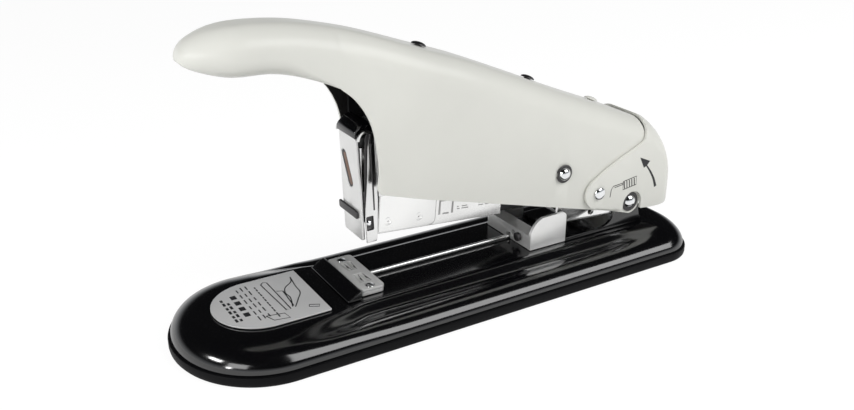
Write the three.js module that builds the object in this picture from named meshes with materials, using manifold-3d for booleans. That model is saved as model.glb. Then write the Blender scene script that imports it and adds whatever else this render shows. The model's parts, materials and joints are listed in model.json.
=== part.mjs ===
// Heavy duty desk stapler in millimetres.
// The nose points to -X, the hinge end to +X, +Z is up, and the foot stands on z = 0.

import * as THREE from "three";
import { mergeVertices } from "three/addons/utils/BufferGeometryUtils.js";
import Module from "manifold-3d";

const wasm = await Module();
wasm.setup();
const { Manifold, Mesh } = wasm;

// Shared clearances and sheet sizes
const seat = 0.3;
const weldGap = 0.0001;
const cutOver = 1;
const roundSides = 24;
const sheet = 1.2;
const thinSheet = 0.8;
const half = 0.5;

// Widths that nest in one another, from the handle inwards
const handleHalf = 15.6;
const handleWall = 1.2;
const bracketHalf = handleHalf - handleWall - seat;
const carrierHalf = bracketHalf - sheet - seat;

// Foot and shell
const footLength = 205.9;
const footWidth = 65;
const footNoseReach = 30.7;
const footRearRadius = 16;
const footUnderside = 0.8;
const footTop = 4;
const footChamfer = 1;
const footRim = 3.5;
const footFloor = 1.6;
const padRadius = 6.5;
const padInsetX = 19;
const padInsetY = 13.5;
const padSink = 0.9;
const shellInset = 1;
const shellWall = 2.2;
const shoulderHeight = 4.9;
const shoulderReach = 4.6;
const troughDrop = 0.8;
const deckTop = 11.7;
const deckFrontInset = 10.45;
const deckRearInset = 6.45;
const deckFrontX = deckFrontInset - footLength * half;
const deckRearX = footLength * half - deckRearInset;
const deckRearShare = 0.2;
const troughFadeX = 66;
const deckHalf = 15.5;
const deckWideHalf = 18;
const deckWideEndX = -52;
const deckNarrowX = -40;
const deckNoseReach = 17;
const deckRearRadius = 10;
const deckFilletReach = 3.4;

// Things fixed on the deck
const plateRearX = -52.9;
const plateInset = 4.1;
const plateFrontX = deckFrontX + plateInset;
const plateHalf = 16.2;
const plateThick = 0.5;
const rampFrontX = -46.4;
const rampRearX = -41.1;
const rampHalf = 15;
const rampTop = 3.1;
const rampLip = 0.6;
const anvilFrontX = -40.7;
const anvilRearX = -31.5;
const anvilHalf = 13.5;
const anvilTopZ = 14.6;
const anvilPlateThick = 1;
const anvilRivetRadius = 1.5;
const anvilRivetY = 11;
const pocketHalfX = 2.3;
const pocketInnerY = 2;
const pocketOuterY = 7.4;
const pocketDepth = 0.5;
const rodRadius = 1;
const rodRearX = 46.9;

// Hinge bracket and hinge pin
const pinX = 77.5;
const pinZ = 22.4;
const pinRadius = 2.5;
const earRadius = 5.4;
const bracketFrontX = 47.4;
const bracketRearX = 86;
const bracketWallZ = 20;
const bracketStepX = 70.5;
const bracketRivetRadius = 2.2;
const bracketRivetX = [55, 66];
const headReach = 1.3;
const headSpread = 0.4;

// Depth stop
const stopFrontX = 30.3;
const stopRearX = 47;
const stopHalf = bracketHalf;
const stopCrossZ = 17.6;
const stopShelf = 6;
const stopWingZ = 24.4;
const stopWingCut = 5;
const stopScrewRadius = 1.7;
const stopScrewY = 7;
const stopHoleY = -3;

// Magazine in its own frame: x runs back to the hinge pin, z = 0 is its underside
const magazineTilt = 0.0793;
const channelFrontX = -108.6;
const channelRearX = -57;
const channelHalf = 7.4;
const channelHeight = 15.5;
const gateDepth = 1.6;
const coreHalf = 4.9;
const coreFrontX = -107;
const coreStepX = -52;
const coreRearX = -10;
const coreHeight = 11.2;
const coreLowHeight = 8;
const stapleWire = 0.8;
const stapleFrontX = -107.8;
const stapleRearX = -70;
const stapleFootZ = 2;
const pusherLength = 8;
const dimpleRadius = 1.5;
const dimpleDepth = 0.3;
const dimpleX = [-105, -91];
const carrierFrontX = -34;
const carrierLowZ = -5.5;
const carrierHighZ = 9;
const carrierWebRearX = -9;
const carrierHeelRadius = 5.6;

// Head in its own frame: x = 0 is the leaf's front face, z = 0 its lower edge
const headX = -36.1;
const headZ = 29.4;
const headTilt = -0.037;
const leafHalf = 6.7;
const leafThick = 1;
const leafHeight = 37;
const slotHalf = 1.4;
const slotLow = 19;
const slotHigh = 30.5;
const slotSlant = 3.4;
const cheekHalf = 8.6;
const cheekBackX = 14.5;
const cheekTopZ = 39.6;
const cheekTopRadius = 5;
const cheekLowZ = -0.6;
const cheekStepX = 6.2;
const cheekStepZ = 15.5;
const windowLowZ = 5.4;
const windowHighZ = 10.2;
const windowFrontX = 2.6;
const windowRearX = 5.6;
const strapLowZ = 9;
const strapHeight = 3.1;
const strapThick = 0.6;
const strapBackX = 5;
const capBlockHeight = 4.4;
const capBlockDepth = 3.6;
const bladeFrontX = 1.5;
const bladeThick = 0.9;
const bladeHalf = 5.8;
const bladeLowZ = 17.4;
const bladeTopZ = 33.2;
const blockRearX = 11.4;
const blockTopZ = 37.6;
const blockDrop = 2;

// Handle
const gripHalf = 12.2;
const taperFrontX = -48;
const taperRearX = -13;
const tipX = -91.4;
const tipReach = 18;
const tipShare = 0.2;
const shoulderRadius = 9.5;
const gripRadius = 5.5;
const edgeRadius = 0.4;
const openZ = 8;
const gripEndX = -44.4;
const hollowFrontX = -81;
const handleTopZ = 125;
const crownLine = [
  [-91.4, 99.4],
  [-90.6, 101.4],
  [-88.6, 103.4],
  [-85, 105.2],
  [-80, 106.5],
  [-74, 107.2],
  [-66, 107.1],
  [-57, 106.2],
  [-49, 104.7],
  [-40, 102.6],
  [-30, 99.5],
  [-11, 92.8],
  [5.5, 87.1],
  [29.4, 77.3],
  [50.7, 68.2],
  [72, 59.6],
  [92, 51],
];
const gripLine = [
  [-91.4, 97.8],
  [-90.2, 96.6],
  [-88.2, 95.5],
  [-84.4, 94.1],
  [-79.2, 92.9],
  [-74.8, 92.5],
  [-68.3, 92.5],
  [-63.8, 91.9],
  [-57.9, 90.6],
  [-52.5, 88.9],
  [-48.1, 87.2],
  [-44.4, 85.4],
];
const throatLine = [
  [-44.4, 85.3],
  [-40.7, 82.1],
  [-38.2, 79],
  [-36.3, 75.8],
  [-34.7, 72],
  [-33.6, 67.4],
  [-32.8, 61.5],
  [-32.5, 54.9],
  [-33.1, 50],
  [-32, 48],
];
const handleFootLine = [
  [-25.4, 46.2],
  [16.7, 34.6],
  [69.1, 20.1],
];
const handleHeel = 5;
const handleBackX = 83.2;
const handleBackZ = 52;
const crownRivetX = [-10, 36, 67];
const crownRivetRadius = 2.7;
const crownRivetRise = 1.1;
const crownShankRadius = 1.3;
const crossX = 42.9;
const crossZ = 41.2;
const crossRadius = 2.2;
const crossWasherRadius = 3.5;
const crossWasherThick = 0.5;

// Inner frame of the handle
const linerFrontX = -31;
const linerRearX = 60;
const linerCrownDrop = 10.5;
const linerFootRise = 9;
const linerWebFrontX = -22;
const linerKneeX = [29.4, -11];
const armHalf = 3.5;
const armFoot = [
  [-25.5, 67.9],
  [-29, 67.9],
];
const armTop = [
  [-22, 87],
  [-17, 84],
];

// Rear cap
const capPivotX = 60;
const capPivotZ = 30;
const capLobeRadius = 6.4;
const capRivetRadius = 2.6;
const capShankRadius = 1.6;
const capWall = 1.05;
const capPlay = 0.35;
const capHalf = handleHalf + capPlay + capWall;
const capLobeStartShare = 0.62;
const capLobeEndShare = 1.4;
const capEndShares = [0, 0.37, 0.7, 0.9, 1];
const capTopFrontX = 84.2;
const capCornerRadius = 6;
const capNotchRadius = 4.7;
const capBackLine = [
  [50, 70],
  [84, 55.6],
  [88, 53.4],
  [92, 49.6],
  [95.2, 44.6],
  [97.4, 38.4],
  [98.8, 30],
];
const capEndX = 99.4;
const capSeamLine = [
  [83, 50],
  [80.4, 46.6],
  [70, 42.3],
  [62.6, 38.9],
];
const capFootLine = [
  [59, 24],
  [72.3, 20.6],
  [86, 18.6],
  [93, 18.4],
  [96.6, 19.2],
  [98.6, 21.6],
];

// Finishes: colour, roughness, metalness
const blackGloss = [0x08080a, 0.18, 0];
const blackSatin = [0x17181b, 0.5, 0];
const darkSteel = [0x26272a, 0.42, 0.7];
const rubberBlack = [0x101112, 0.85, 0];
const brightSteel = [0xcfd0cf, 0.24, 1];
const brushedPlate = [0xb4b6b8, 0.4, 0.9];
const chromed = [0xdcdddd, 0.12, 1];
const warmWhite = [0xd9dad1, 0.26, 0];

// Solids from three.js shapes
function toSolid(geometry) {
  const loose = geometry.index ? geometry.toNonIndexed() : geometry;
  const bare = new THREE.BufferGeometry();
  bare.setAttribute("position", loose.getAttribute("position"));
  const merged = mergeVertices(bare, weldGap);
  const triVerts = new Uint32Array(merged.index.array);
  const vertProperties = merged.attributes.position.array;
  return new Manifold(new Mesh({ numProp: 3, vertProperties, triVerts }));
}

function toGeometry(solid) {
  const { vertProperties, triVerts, numProp, numVert } = solid.getMesh();
  const positions = new Float32Array(numVert * 3);
  for (let i = 0; i < numVert; i++) {
    positions.set(vertProperties.subarray(i * numProp, i * numProp + 3), i * 3);
  }
  const geometry = new THREE.BufferGeometry();
  geometry.setAttribute("position", new THREE.BufferAttribute(positions, 3));
  geometry.setIndex(new THREE.BufferAttribute(triVerts, 1));
  const faceted = geometry.toNonIndexed();
  faceted.computeVertexNormals();
  return faceted;
}

function joinAll(solids) {
  return solids.reduce((sum, solid) => sum.add(solid));
}

function cutAll(solid, tools) {
  return tools.reduce((rest, tool) => rest.subtract(tool), solid);
}

function block(x0, x1, y0, y1, z0, z1) {
  const box = new THREE.BoxGeometry(x1 - x0, y1 - y0, z1 - z0);
  box.translate((x0 + x1) * half, (y0 + y1) * half, (z0 + z1) * half);
  return toSolid(box);
}

function disc(x, y, z0, z1, radius, sides = roundSides) {
  const round = new THREE.CylinderGeometry(radius, radius, z1 - z0, sides);
  round.rotateX(Math.PI * half);
  round.translate(x, y, (z0 + z1) * half);
  return toSolid(round);
}

function crossBar(x, z, y0, y1, radius, sides = roundSides) {
  const round = new THREE.CylinderGeometry(radius, radius, y1 - y0, sides);
  round.translate(x, (y0 + y1) * half, z);
  return toSolid(round);
}

function shapeOf(points) {
  return new THREE.Shape(points.map(([u, v]) => new THREE.Vector2(u, v)));
}

// A side outline in x and z, as thick as two half widths across y
function sideSlab(points, halfWidth) {
  const options = { depth: 2 * halfWidth, bevelEnabled: false };
  const slab = new THREE.ExtrudeGeometry(shapeOf(points), options);
  slab.rotateX(Math.PI * half);
  slab.translate(0, halfWidth, 0);
  return toSolid(slab);
}

// A plan outline in x and y, from z0 up to z1
function planSlab(points, z0, z1) {
  const options = { depth: z1 - z0, bevelEnabled: false };
  const slab = new THREE.ExtrudeGeometry(shapeOf(points), options);
  slab.translate(0, 0, z0);
  return toSolid(slab);
}

function arcPoints(x, z, radius, from, to, steps) {
  return Array.from({ length: steps + 1 }, (_, i) => {
    const angle = from + ((to - from) * i) / steps;
    return [x + radius * Math.cos(angle), z + radius * Math.sin(angle)];
  });
}

// A skin through rings with equal counts, closed by a fan at each end
function loft(rings) {
  const count = rings[0].length;
  const centre = (ring) => {
    const sum = new THREE.Vector3();
    ring.forEach((point) => sum.add(point));
    return sum.divideScalar(count);
  };
  const spots = [];
  const face = (a, b, c) => spots.push(a, b, c);
  rings.slice(1).forEach((upper, k) => {
    const lower = rings[k];
    for (let i = 0; i < count; i++) {
      const j = (i + 1) % count;
      face(lower[i], lower[j], upper[j]);
      face(lower[i], upper[j], upper[i]);
    }
  });
  const first = rings[0];
  const last = rings[rings.length - 1];
  const firstCentre = centre(first);
  const lastCentre = centre(last);
  for (let i = 0; i < count; i++) {
    const j = (i + 1) % count;
    face(firstCentre, first[j], first[i]);
    face(lastCentre, last[i], last[j]);
  }
  return toSolid(new THREE.BufferGeometry().setFromPoints(spots));
}

// Height of a polyline at x
function heightOn(line, x) {
  const last = line.length - 1;
  if (x <= line[0][0]) return line[0][1];
  for (let i = 0; i < last; i++) {
    const [x0, z0] = line[i];
    const [x1, z1] = line[i + 1];
    if (x <= x1) return z0 + ((z1 - z0) * (x - x0)) / (x1 - x0);
  }
  return line[last][1];
}

function piece(name, solid, finish) {
  const [color, roughness, metalness] = finish;
  const material = new THREE.MeshStandardMaterial({ color, roughness, metalness });
  const mesh = new THREE.Mesh(toGeometry(solid), material);
  mesh.name = name;
  return mesh;
}

// A plan outline with an elliptic front and rounded rear corners
function planOutline(frontX, rearX, halfWidth, noseReach, rearRadius) {
  const noseSteps = 28;
  const cornerSteps = 5;
  const sideSteps = 8;
  const points = [];
  for (let i = 0; i <= noseSteps; i++) {
    const angle = Math.PI * (half + i / noseSteps);
    const x = frontX + noseReach + noseReach * Math.cos(angle);
    points.push([x, halfWidth * Math.sin(angle)]);
  }
  const sideStart = frontX + noseReach;
  const sideEnd = rearX - rearRadius;
  const side = (share) => sideStart + (sideEnd - sideStart) * share;
  for (let i = 1; i < sideSteps; i++) points.push([side(i / sideSteps), -halfWidth]);
  const low = arcPoints(sideEnd, rearRadius - halfWidth, rearRadius, -Math.PI * half, 0, cornerSteps);
  const high = arcPoints(sideEnd, halfWidth - rearRadius, rearRadius, 0, Math.PI * half, cornerSteps);
  points.push(...low, ...high);
  for (let i = sideSteps - 1; i > 0; i--) points.push([side(i / sideSteps), halfWidth]);
  return points;
}

function footOutline(inset) {
  const end = footLength * half - inset;
  const reach = footNoseReach - inset;
  return planOutline(-end, end, footWidth * half - inset, reach, footRearRadius - inset);
}

// The deck is wide under the information plate and narrow behind it
function deckOutline(outset, wall) {
  const reach = deckNoseReach + outset;
  const rearX = deckRearX + outset * deckRearShare - wall;
  const wide = deckWideHalf + outset;
  const narrow = deckHalf + outset;
  const rear = deckRearRadius + outset;
  const points = planOutline(deckFrontX - outset, rearX, wide, reach, rear);
  return points.map(([x, y]) => {
    const share = THREE.MathUtils.smoothstep(x, deckWideEndX, deckNarrowX);
    return [x, y * (1 - share + (share * narrow) / wide)];
  });
}

function ringAt(points, z) {
  return points.map(([x, y]) => new THREE.Vector3(x, y, z));
}

// Outer or inner skin of the pressed shell: wall, round shoulder, trough and raised deck
function shellSkin(offset, lowZ) {
  const shoulderSteps = 5;
  const filletSteps = 4;
  const rings = [ringAt(footOutline(shellInset + offset), lowZ)];
  const base = footTop + seat;
  for (let i = 0; i <= shoulderSteps; i++) {
    const angle = (Math.PI * half * i) / shoulderSteps;
    const inset = shellInset + offset + shoulderReach * (1 - Math.cos(angle));
    const rise = shoulderHeight * Math.sin(angle);
    rings.push(ringAt(footOutline(inset), base + rise - offset));
  }
  const crest = base + shoulderHeight - offset;
  for (let i = 0; i <= filletSteps; i++) {
    const share = i / filletSteps;
    const lift = half - half * Math.cos(Math.PI * share);
    const outset = deckFilletReach * (1 - share) - offset * half;
    const ring = deckOutline(outset, offset).map(([x, y]) => {
      const fade = 1 - THREE.MathUtils.smoothstep(x, troughFadeX, deckRearX - deckRearRadius);
      const trough = crest - troughDrop * fade;
      return new THREE.Vector3(x, y, trough + (deckTop - offset - trough) * lift);
    });
    rings.push(ring);
  }
  return loft(rings);
}

// The four corners where a pad or a screw boss stands
function cornerPlaces() {
  const x = footLength * half - padInsetX;
  const y = footWidth * half - padInsetY;
  return [
    ["front_near", -x, -y],
    ["front_far", -x, y],
    ["rear_near", x, -y],
    ["rear_far", x, y],
  ];
}

function footTray() {
  const rings = [
    ringAt(footOutline(footChamfer), footUnderside),
    ringAt(footOutline(0), footUnderside + footChamfer),
    ringAt(footOutline(0), footTop),
  ];
  const well = planSlab(footOutline(footRim), footUnderside + footFloor, footTop + cutOver);
  const bosses = cornerPlaces().map(([, x, y]) => {
    return disc(x, y, footUnderside + padSink, footTop, padRadius + sheet);
  });
  const tray = joinAll([loft(rings).subtract(well), ...bosses]);
  const pockets = cornerPlaces().map(([, x, y]) => {
    return disc(x, y, -cutOver, footUnderside + padSink + seat, padRadius + seat);
  });
  return piece("foot_tray", cutAll(tray, pockets), blackSatin);
}

function footPads() {
  return cornerPlaces().map(([place, x, y]) => {
    const pad = disc(x, y, 0, footUnderside + padSink, padRadius);
    return piece("foot_pad_" + place, pad, rubberBlack);
  });
}

function baseShell() {
  const inner = shellSkin(shellWall * half, -cutOver);
  const shell = shellSkin(0, footTop + seat).subtract(inner);
  return piece("base_shell", shell, blackGloss);
}

function infoPlate() {
  const steps = 24;
  const straight = plateRearX - plateFrontX - plateHalf;
  const nose = plateFrontX + plateHalf;
  const points = arcPoints(nose, 0, plateHalf, Math.PI * half, Math.PI * (1 + half), steps);
  points.push([nose + straight, -plateHalf], [nose + straight, plateHalf]);
  const low = deckTop + seat;
  return piece("info_plate", planSlab(points, low, low + plateThick), brushedPlate);
}

// Wedge that leads the paper up onto the anvil
function anvilRamp() {
  const low = deckTop + seat;
  const points = [
    [rampFrontX, low],
    [rampRearX, low],
    [rampRearX, low + rampTop],
    [rampRearX - rampLip, low + rampTop],
    [rampFrontX, low + rampLip],
  ];
  return piece("anvil_ramp", sideSlab(points, rampHalf), blackSatin);
}

function anvilStack() {
  const low = deckTop + seat;
  const plateLow = anvilTopZ - anvilPlateThick;
  const bodyHalf = anvilHalf - seat;
  const bed = block(anvilFrontX, anvilRearX, -bodyHalf, bodyHalf, low, plateLow - seat);
  const plate = block(anvilFrontX, anvilRearX, -anvilHalf, anvilHalf, plateLow, anvilTopZ);
  const midX = (anvilFrontX + anvilRearX) * half;
  const pocketLow = anvilTopZ - pocketDepth;
  const pocket = (side) => {
    const wide = pocketHalfX;
    const narrow = pocketHalfX * half;
    return planSlab(
      [
        [midX - narrow, side * pocketInnerY],
        [midX + narrow, side * pocketInnerY],
        [midX + wide, side * pocketOuterY],
        [midX - wide, side * pocketOuterY],
      ],
      pocketLow,
      anvilTopZ + cutOver,
    );
  };
  const holeRadius = anvilRivetRadius + seat;
  const top = anvilTopZ + cutOver;
  const holes = [-1, 1].map((side) => disc(midX, side * anvilRivetY, low - cutOver, top, holeRadius));
  const rivets = [-1, 1].map((side) => {
    const solid = disc(midX, side * anvilRivetY, low, anvilTopZ, anvilRivetRadius);
    return piece(side < 0 ? "anvil_rivet_near" : "anvil_rivet_far", solid, chromed);
  });
  return [
    piece("anvil_bed", cutAll(bed, holes), darkSteel),
    piece("anvil_plate", cutAll(plate, [pocket(-1), pocket(1), ...holes]), brightSteel),
    ...rivets,
  ];
}

function guideRod() {
  const rod = new THREE.CylinderGeometry(rodRadius, rodRadius, rodRearX - anvilRearX - seat, roundSides);
  rod.rotateZ(Math.PI * half);
  rod.translate((rodRearX + anvilRearX + seat) * half, 0, deckTop + seat + rodRadius);
  return piece("guide_rod", toSolid(rod), chromed);
}

// A pin along y with a low dome on each end
function domedPin(x, z, reach, radius, headRadius, headHeight) {
  const steps = 5;
  const profile = [new THREE.Vector2(0, -reach - headHeight)];
  for (let i = 1; i <= steps; i++) {
    const angle = (Math.PI * half * i) / steps;
    const rise = headHeight * Math.cos(angle);
    profile.push(new THREE.Vector2(headRadius * Math.sin(angle), -reach - rise));
  }
  profile.push(new THREE.Vector2(radius, -reach), new THREE.Vector2(radius, reach));
  for (let i = steps; i >= 1; i--) {
    const angle = (Math.PI * half * i) / steps;
    const rise = headHeight * Math.cos(angle);
    profile.push(new THREE.Vector2(headRadius * Math.sin(angle), reach + rise));
  }
  profile.push(new THREE.Vector2(0, reach + headHeight));
  const lathe = new THREE.LatheGeometry(profile, roundSides);
  lathe.translate(x, 0, z);
  return toSolid(lathe);
}

function hingeBracket() {
  const low = deckTop + seat;
  const ear = arcPoints(pinX, pinZ, earRadius, 0, Math.PI, 14);
  const points = [
    [bracketFrontX, low],
    [bracketRearX, low],
    [bracketRearX, low + sheet],
    ...ear,
    [bracketStepX, bracketWallZ],
    [bracketFrontX, bracketWallZ],
  ];
  const inner = bracketHalf - sheet;
  const over = pinZ + earRadius + cutOver;
  const rearX = bracketRearX + cutOver;
  const room = block(bracketFrontX - cutOver, rearX, -inner, inner, low + sheet, over);
  const bore = crossBar(pinX, pinZ, -footWidth, footWidth, pinRadius + seat);
  const holes = bracketRivetX.map((x) => {
    return disc(x, 0, low - cutOver, low + sheet + cutOver, bracketRivetRadius * half + seat);
  });
  const bracket = cutAll(sideSlab(points, bracketHalf), [room, bore, ...holes]);
  return piece("hinge_bracket", bracket, blackSatin);
}

function bracketRivets() {
  const low = deckTop + seat;
  const headLow = low + sheet + seat;
  return bracketRivetX.map((x, i) => {
    const shank = disc(x, 0, low, headLow, bracketRivetRadius * half);
    return piece("bracket_rivet_" + (i + 1), shank.add(domeOn(x, headLow)), brightSteel);
  });
}

// A low dome with a flat underside, standing on z0
function domeOn(x, z0) {
  const steps = 4;
  const profile = [new THREE.Vector2(0, z0), new THREE.Vector2(bracketRivetRadius, z0)];
  for (let i = 1; i <= steps; i++) {
    const angle = (Math.PI * half * i) / steps;
    const rise = bracketRivetRadius * half * Math.sin(angle);
    profile.push(new THREE.Vector2(bracketRivetRadius * Math.cos(angle), z0 + rise));
  }
  profile[profile.length - 1].x = 0;
  const dome = new THREE.LatheGeometry(profile, roundSides);
  dome.rotateX(Math.PI * half);
  dome.translate(x, 0, 0);
  return toSolid(dome);
}

function hingePin() {
  const reach = handleHalf + seat;
  const pin = domedPin(pinX, pinZ, reach, pinRadius, pinRadius + headSpread, headReach);
  return piece("hinge_pin", pin, chromed);
}

// Bent sheet stop that straddles the deck and slides along the guide rod
function depthStop() {
  const low = deckTop + seat;
  const wing = [
    [stopFrontX, low],
    [stopRearX, low],
    [stopRearX, stopWingZ - stopWingCut * half],
    [stopRearX - stopWingCut, stopWingZ],
    [stopFrontX + stopWingCut, stopWingZ],
    [stopFrontX, stopWingZ - stopWingCut],
  ];
  const inner = stopHalf - sheet;
  const wings = sideSlab(wing, stopHalf);
  const over = stopWingZ + cutOver;
  const rearX = stopRearX + cutOver;
  const under = low - cutOver;
  const behind = block(stopFrontX + sheet, rearX, -inner, inner, under, stopCrossZ - sheet);
  const above = block(stopFrontX - cutOver, rearX, -inner, inner, stopCrossZ, over);
  const shelfEnd = stopFrontX + stopShelf;
  const backRoom = block(shelfEnd, rearX, -inner, inner, under, over);
  const rodHalf = rodRadius + seat;
  const rodTop = low + rodRadius + rodHalf;
  const rodRoom = block(stopFrontX - cutOver, rearX, -rodHalf, rodHalf, under, rodTop);
  const faceFront = stopFrontX - cutOver;
  const faceBack = stopFrontX + sheet + cutOver;
  const holeZ = stopCrossZ - 2 * sheet;
  const screwHole = frontBar(faceFront, faceBack, -stopScrewY, holeZ, stopScrewRadius * half + seat);
  const eye = frontBar(faceFront, faceBack, stopHoleY, holeZ, sheet);
  const stop = cutAll(wings, [behind, above, backRoom, rodRoom, screwHole, eye]);
  return piece("depth_stop", stop, brightSteel);
}

// A round bar along x
function frontBar(x0, x1, y, z, radius, sides = roundSides) {
  const round = new THREE.CylinderGeometry(radius, radius, x1 - x0, sides);
  round.rotateZ(Math.PI * half);
  round.translate((x0 + x1) * half, y, z);
  return toSolid(round);
}

function stopScrew() {
  const z = stopCrossZ - 2 * sheet;
  const front = stopFrontX - seat - sheet;
  const head = frontBar(front, front + sheet, -stopScrewY, z, stopScrewRadius);
  const shank = frontBar(front, stopFrontX + 2 * sheet, -stopScrewY, z, stopScrewRadius * half);
  return piece("stop_screw", head.add(shank), darkSteel);
}

// Outer channel that guides the staples, with two pressed spots on each cheek
function magazineChannel() {
  const wallIn = channelHalf - thinSheet;
  const outer = block(channelFrontX, channelRearX, -channelHalf, channelHalf, 0, channelHeight);
  const front = channelFrontX - cutOver;
  const rear = channelRearX + cutOver;
  const room = block(front, rear, -wallIn, wallIn, thinSheet, channelHeight + cutOver);
  const gate = block(front, channelFrontX + gateDepth, -wallIn, wallIn, -cutOver, channelHeight);
  const dimples = dimpleX.flatMap((x) => {
    return [-1, 1].map((side) => {
      const y = side * channelHalf;
      return crossBar(x, channelHeight * half, y - dimpleDepth, y + dimpleDepth, dimpleRadius);
    });
  });
  const channel = cutAll(outer, [room, gate, ...dimples]);
  return piece("magazine_channel", channel, brightSteel);
}

function magazineCore() {
  const low = thinSheet + seat;
  const tall = block(coreFrontX, coreStepX, -coreHalf, coreHalf, low, coreHeight);
  const rearPart = block(channelRearX + seat, coreRearX, -coreHalf, coreHalf, 0, coreLowHeight);
  const notch = coreHalf * half;
  const grooveEnd = coreStepX + cutOver;
  const groove = block(coreFrontX - cutOver, grooveEnd, -notch, notch, coreLowHeight, coreHeight + cutOver);
  return piece("magazine_core", tall.add(rearPart).subtract(groove), blackSatin);
}

// Staples ride astride the core with their legs in the channel
function saddle(x0, x1, wire) {
  const legIn = coreHalf + seat;
  const legOut = legIn + wire;
  const crown = coreHeight + seat;
  const body = block(x0, x1, -legOut, legOut, stapleFootZ, crown + wire);
  return body.subtract(block(x0 - cutOver, x1 + cutOver, -legIn, legIn, -cutOver, crown));
}

function stapleStrip() {
  return piece("staple_strip", saddle(stapleFrontX, stapleRearX, stapleWire), brushedPlate);
}

function staplePusher() {
  const start = stapleRearX + seat;
  const shoe = saddle(start, start + pusherLength, stapleWire);
  const crown = coreHeight + seat;
  const keyHalf = coreHalf * half - seat;
  const end = start + pusherLength;
  const key = block(start, end, -keyHalf, keyHalf, coreLowHeight + seat, crown + seat);
  return piece("staple_pusher", shoe.add(key), darkSteel);
}

// Rear carrier that hangs the magazine on the hinge pin
function magazineCarrier() {
  const heel = arcPoints(0, 0, carrierHeelRadius, -Math.PI * half, Math.PI * half, 12);
  const points = [[carrierFrontX, carrierLowZ], ...heel, [carrierWebRearX, carrierHighZ]];
  points.push([carrierFrontX, carrierHighZ]);
  const inner = carrierHalf - sheet;
  const slab = sideSlab(points, carrierHalf);
  const webTop = -seat;
  const webLow = -seat - sheet;
  const far = footWidth;
  const above = block(-footLength, far, -inner, inner, webTop, far);
  const below = block(-footLength, far, -inner, inner, -far, webLow);
  const behind = block(carrierWebRearX, far, -inner, inner, -far, far);
  const bore = crossBar(0, 0, -far, far, pinRadius + seat);
  const lance = crossBar(carrierFrontX * half, carrierLowZ * half, -far, far, dimpleRadius);
  const carrier = cutAll(slab, [above, below, behind, bore, lance]);
  return piece("magazine_carrier", carrier, brightSteel);
}

// Front leaf with its slanted slot
function headLeaf() {
  const leaf = block(0, leafThick, -leafHalf, leafHalf, 0, leafHeight);
  const slant = slotSlant * half;
  const options = { depth: leafThick + 2 * cutOver, bevelEnabled: false };
  const outline = shapeOf([
    [-slotHalf - slant, slotLow],
    [slotHalf - slant, slotLow],
    [slotHalf + slant, slotHigh],
    [-slotHalf + slant, slotHigh],
  ]);
  const tool = new THREE.ExtrudeGeometry(outline, options);
  const turn = new THREE.Matrix4().makeBasis(
    new THREE.Vector3(0, 1, 0),
    new THREE.Vector3(0, 0, 1),
    new THREE.Vector3(1, 0, 0),
  );
  tool.applyMatrix4(turn);
  tool.translate(-cutOver, 0, 0);
  return piece("head_leaf", leaf.subtract(toSolid(tool)), brightSteel);
}

// Two cheeks joined by a back web, rounded at the top
function headFrame() {
  const frontX = leafThick + seat;
  const topX = frontX + cheekTopRadius;
  const arch = arcPoints(topX, cheekTopZ - cheekTopRadius, cheekTopRadius, Math.PI * half, Math.PI, 6);
  const points = [
    [frontX, cheekLowZ],
    [cheekBackX, cheekLowZ],
    [cheekBackX, cheekTopZ],
    ...arch,
  ];
  const inner = cheekHalf - thinSheet;
  const webZ = blockTopZ * half;
  const web = cheekBackX - thinSheet;
  const room = block(-cutOver, web, -inner, inner, -footWidth, footWidth);
  const under = block(web - cutOver, cheekBackX + cutOver, -inner, inner, -footWidth, webZ);
  const window = block(windowFrontX, windowRearX, -footWidth, footWidth, windowLowZ, windowHighZ);
  const step = block(cheekStepX, cheekBackX + cutOver, -footWidth, footWidth, -footWidth, cheekStepZ);
  const frame = cutAll(sideSlab(points, cheekHalf), [room, under, window, step]);
  return piece("head_frame", frame, brightSteel);
}

function headStrap() {
  const wrap = cheekHalf + seat + strapThick;
  const low = strapLowZ - strapHeight * half;
  const outer = block(-seat - strapThick, strapBackX, -wrap, wrap, low, low + strapHeight);
  const inner = cheekHalf + seat;
  const room = block(-seat, strapBackX + cutOver, -inner, inner, -footWidth, footWidth);
  return piece("head_strap", outer.subtract(room), darkSteel);
}

function headCap() {
  const low = leafHeight + seat;
  const rise = capBlockHeight * half;
  const midX = capBlockDepth * half - seat;
  const dome = arcPoints(midX, low + rise, capBlockDepth * half, 0, Math.PI, 8);
  const points = [[midX - capBlockDepth * half, low], [midX + capBlockDepth * half, low], ...dome];
  return piece("head_cap", sideSlab(points, leafHalf - seat), blackSatin);
}

function driverBlade() {
  const back = bladeFrontX + bladeThick;
  const blade = block(bladeFrontX, back, -bladeHalf, bladeHalf, bladeLowZ, bladeTopZ);
  return piece("driver_blade", blade, brightSteel);
}

// Block that sinks between the walls of the channel
function driverBlock() {
  const wide = channelHalf - thinSheet - seat;
  const frontX = bladeFrontX + capBlockDepth;
  const low = bladeTopZ + seat;
  const body = block(frontX, blockRearX, -wide, wide, bladeTopZ - blockDrop, blockTopZ);
  const beak = block(bladeFrontX, frontX + cutOver, -bladeHalf, bladeHalf, low, leafHeight - seat);
  return piece("driver_block", body.add(beak), blackSatin);
}

// The handle is narrow along the grip and wide at the hinge
function handleHalfAt(x) {
  const share = THREE.MathUtils.smoothstep(x, taperFrontX, taperRearX);
  return gripHalf + (handleHalf - gripHalf) * share;
}

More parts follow.
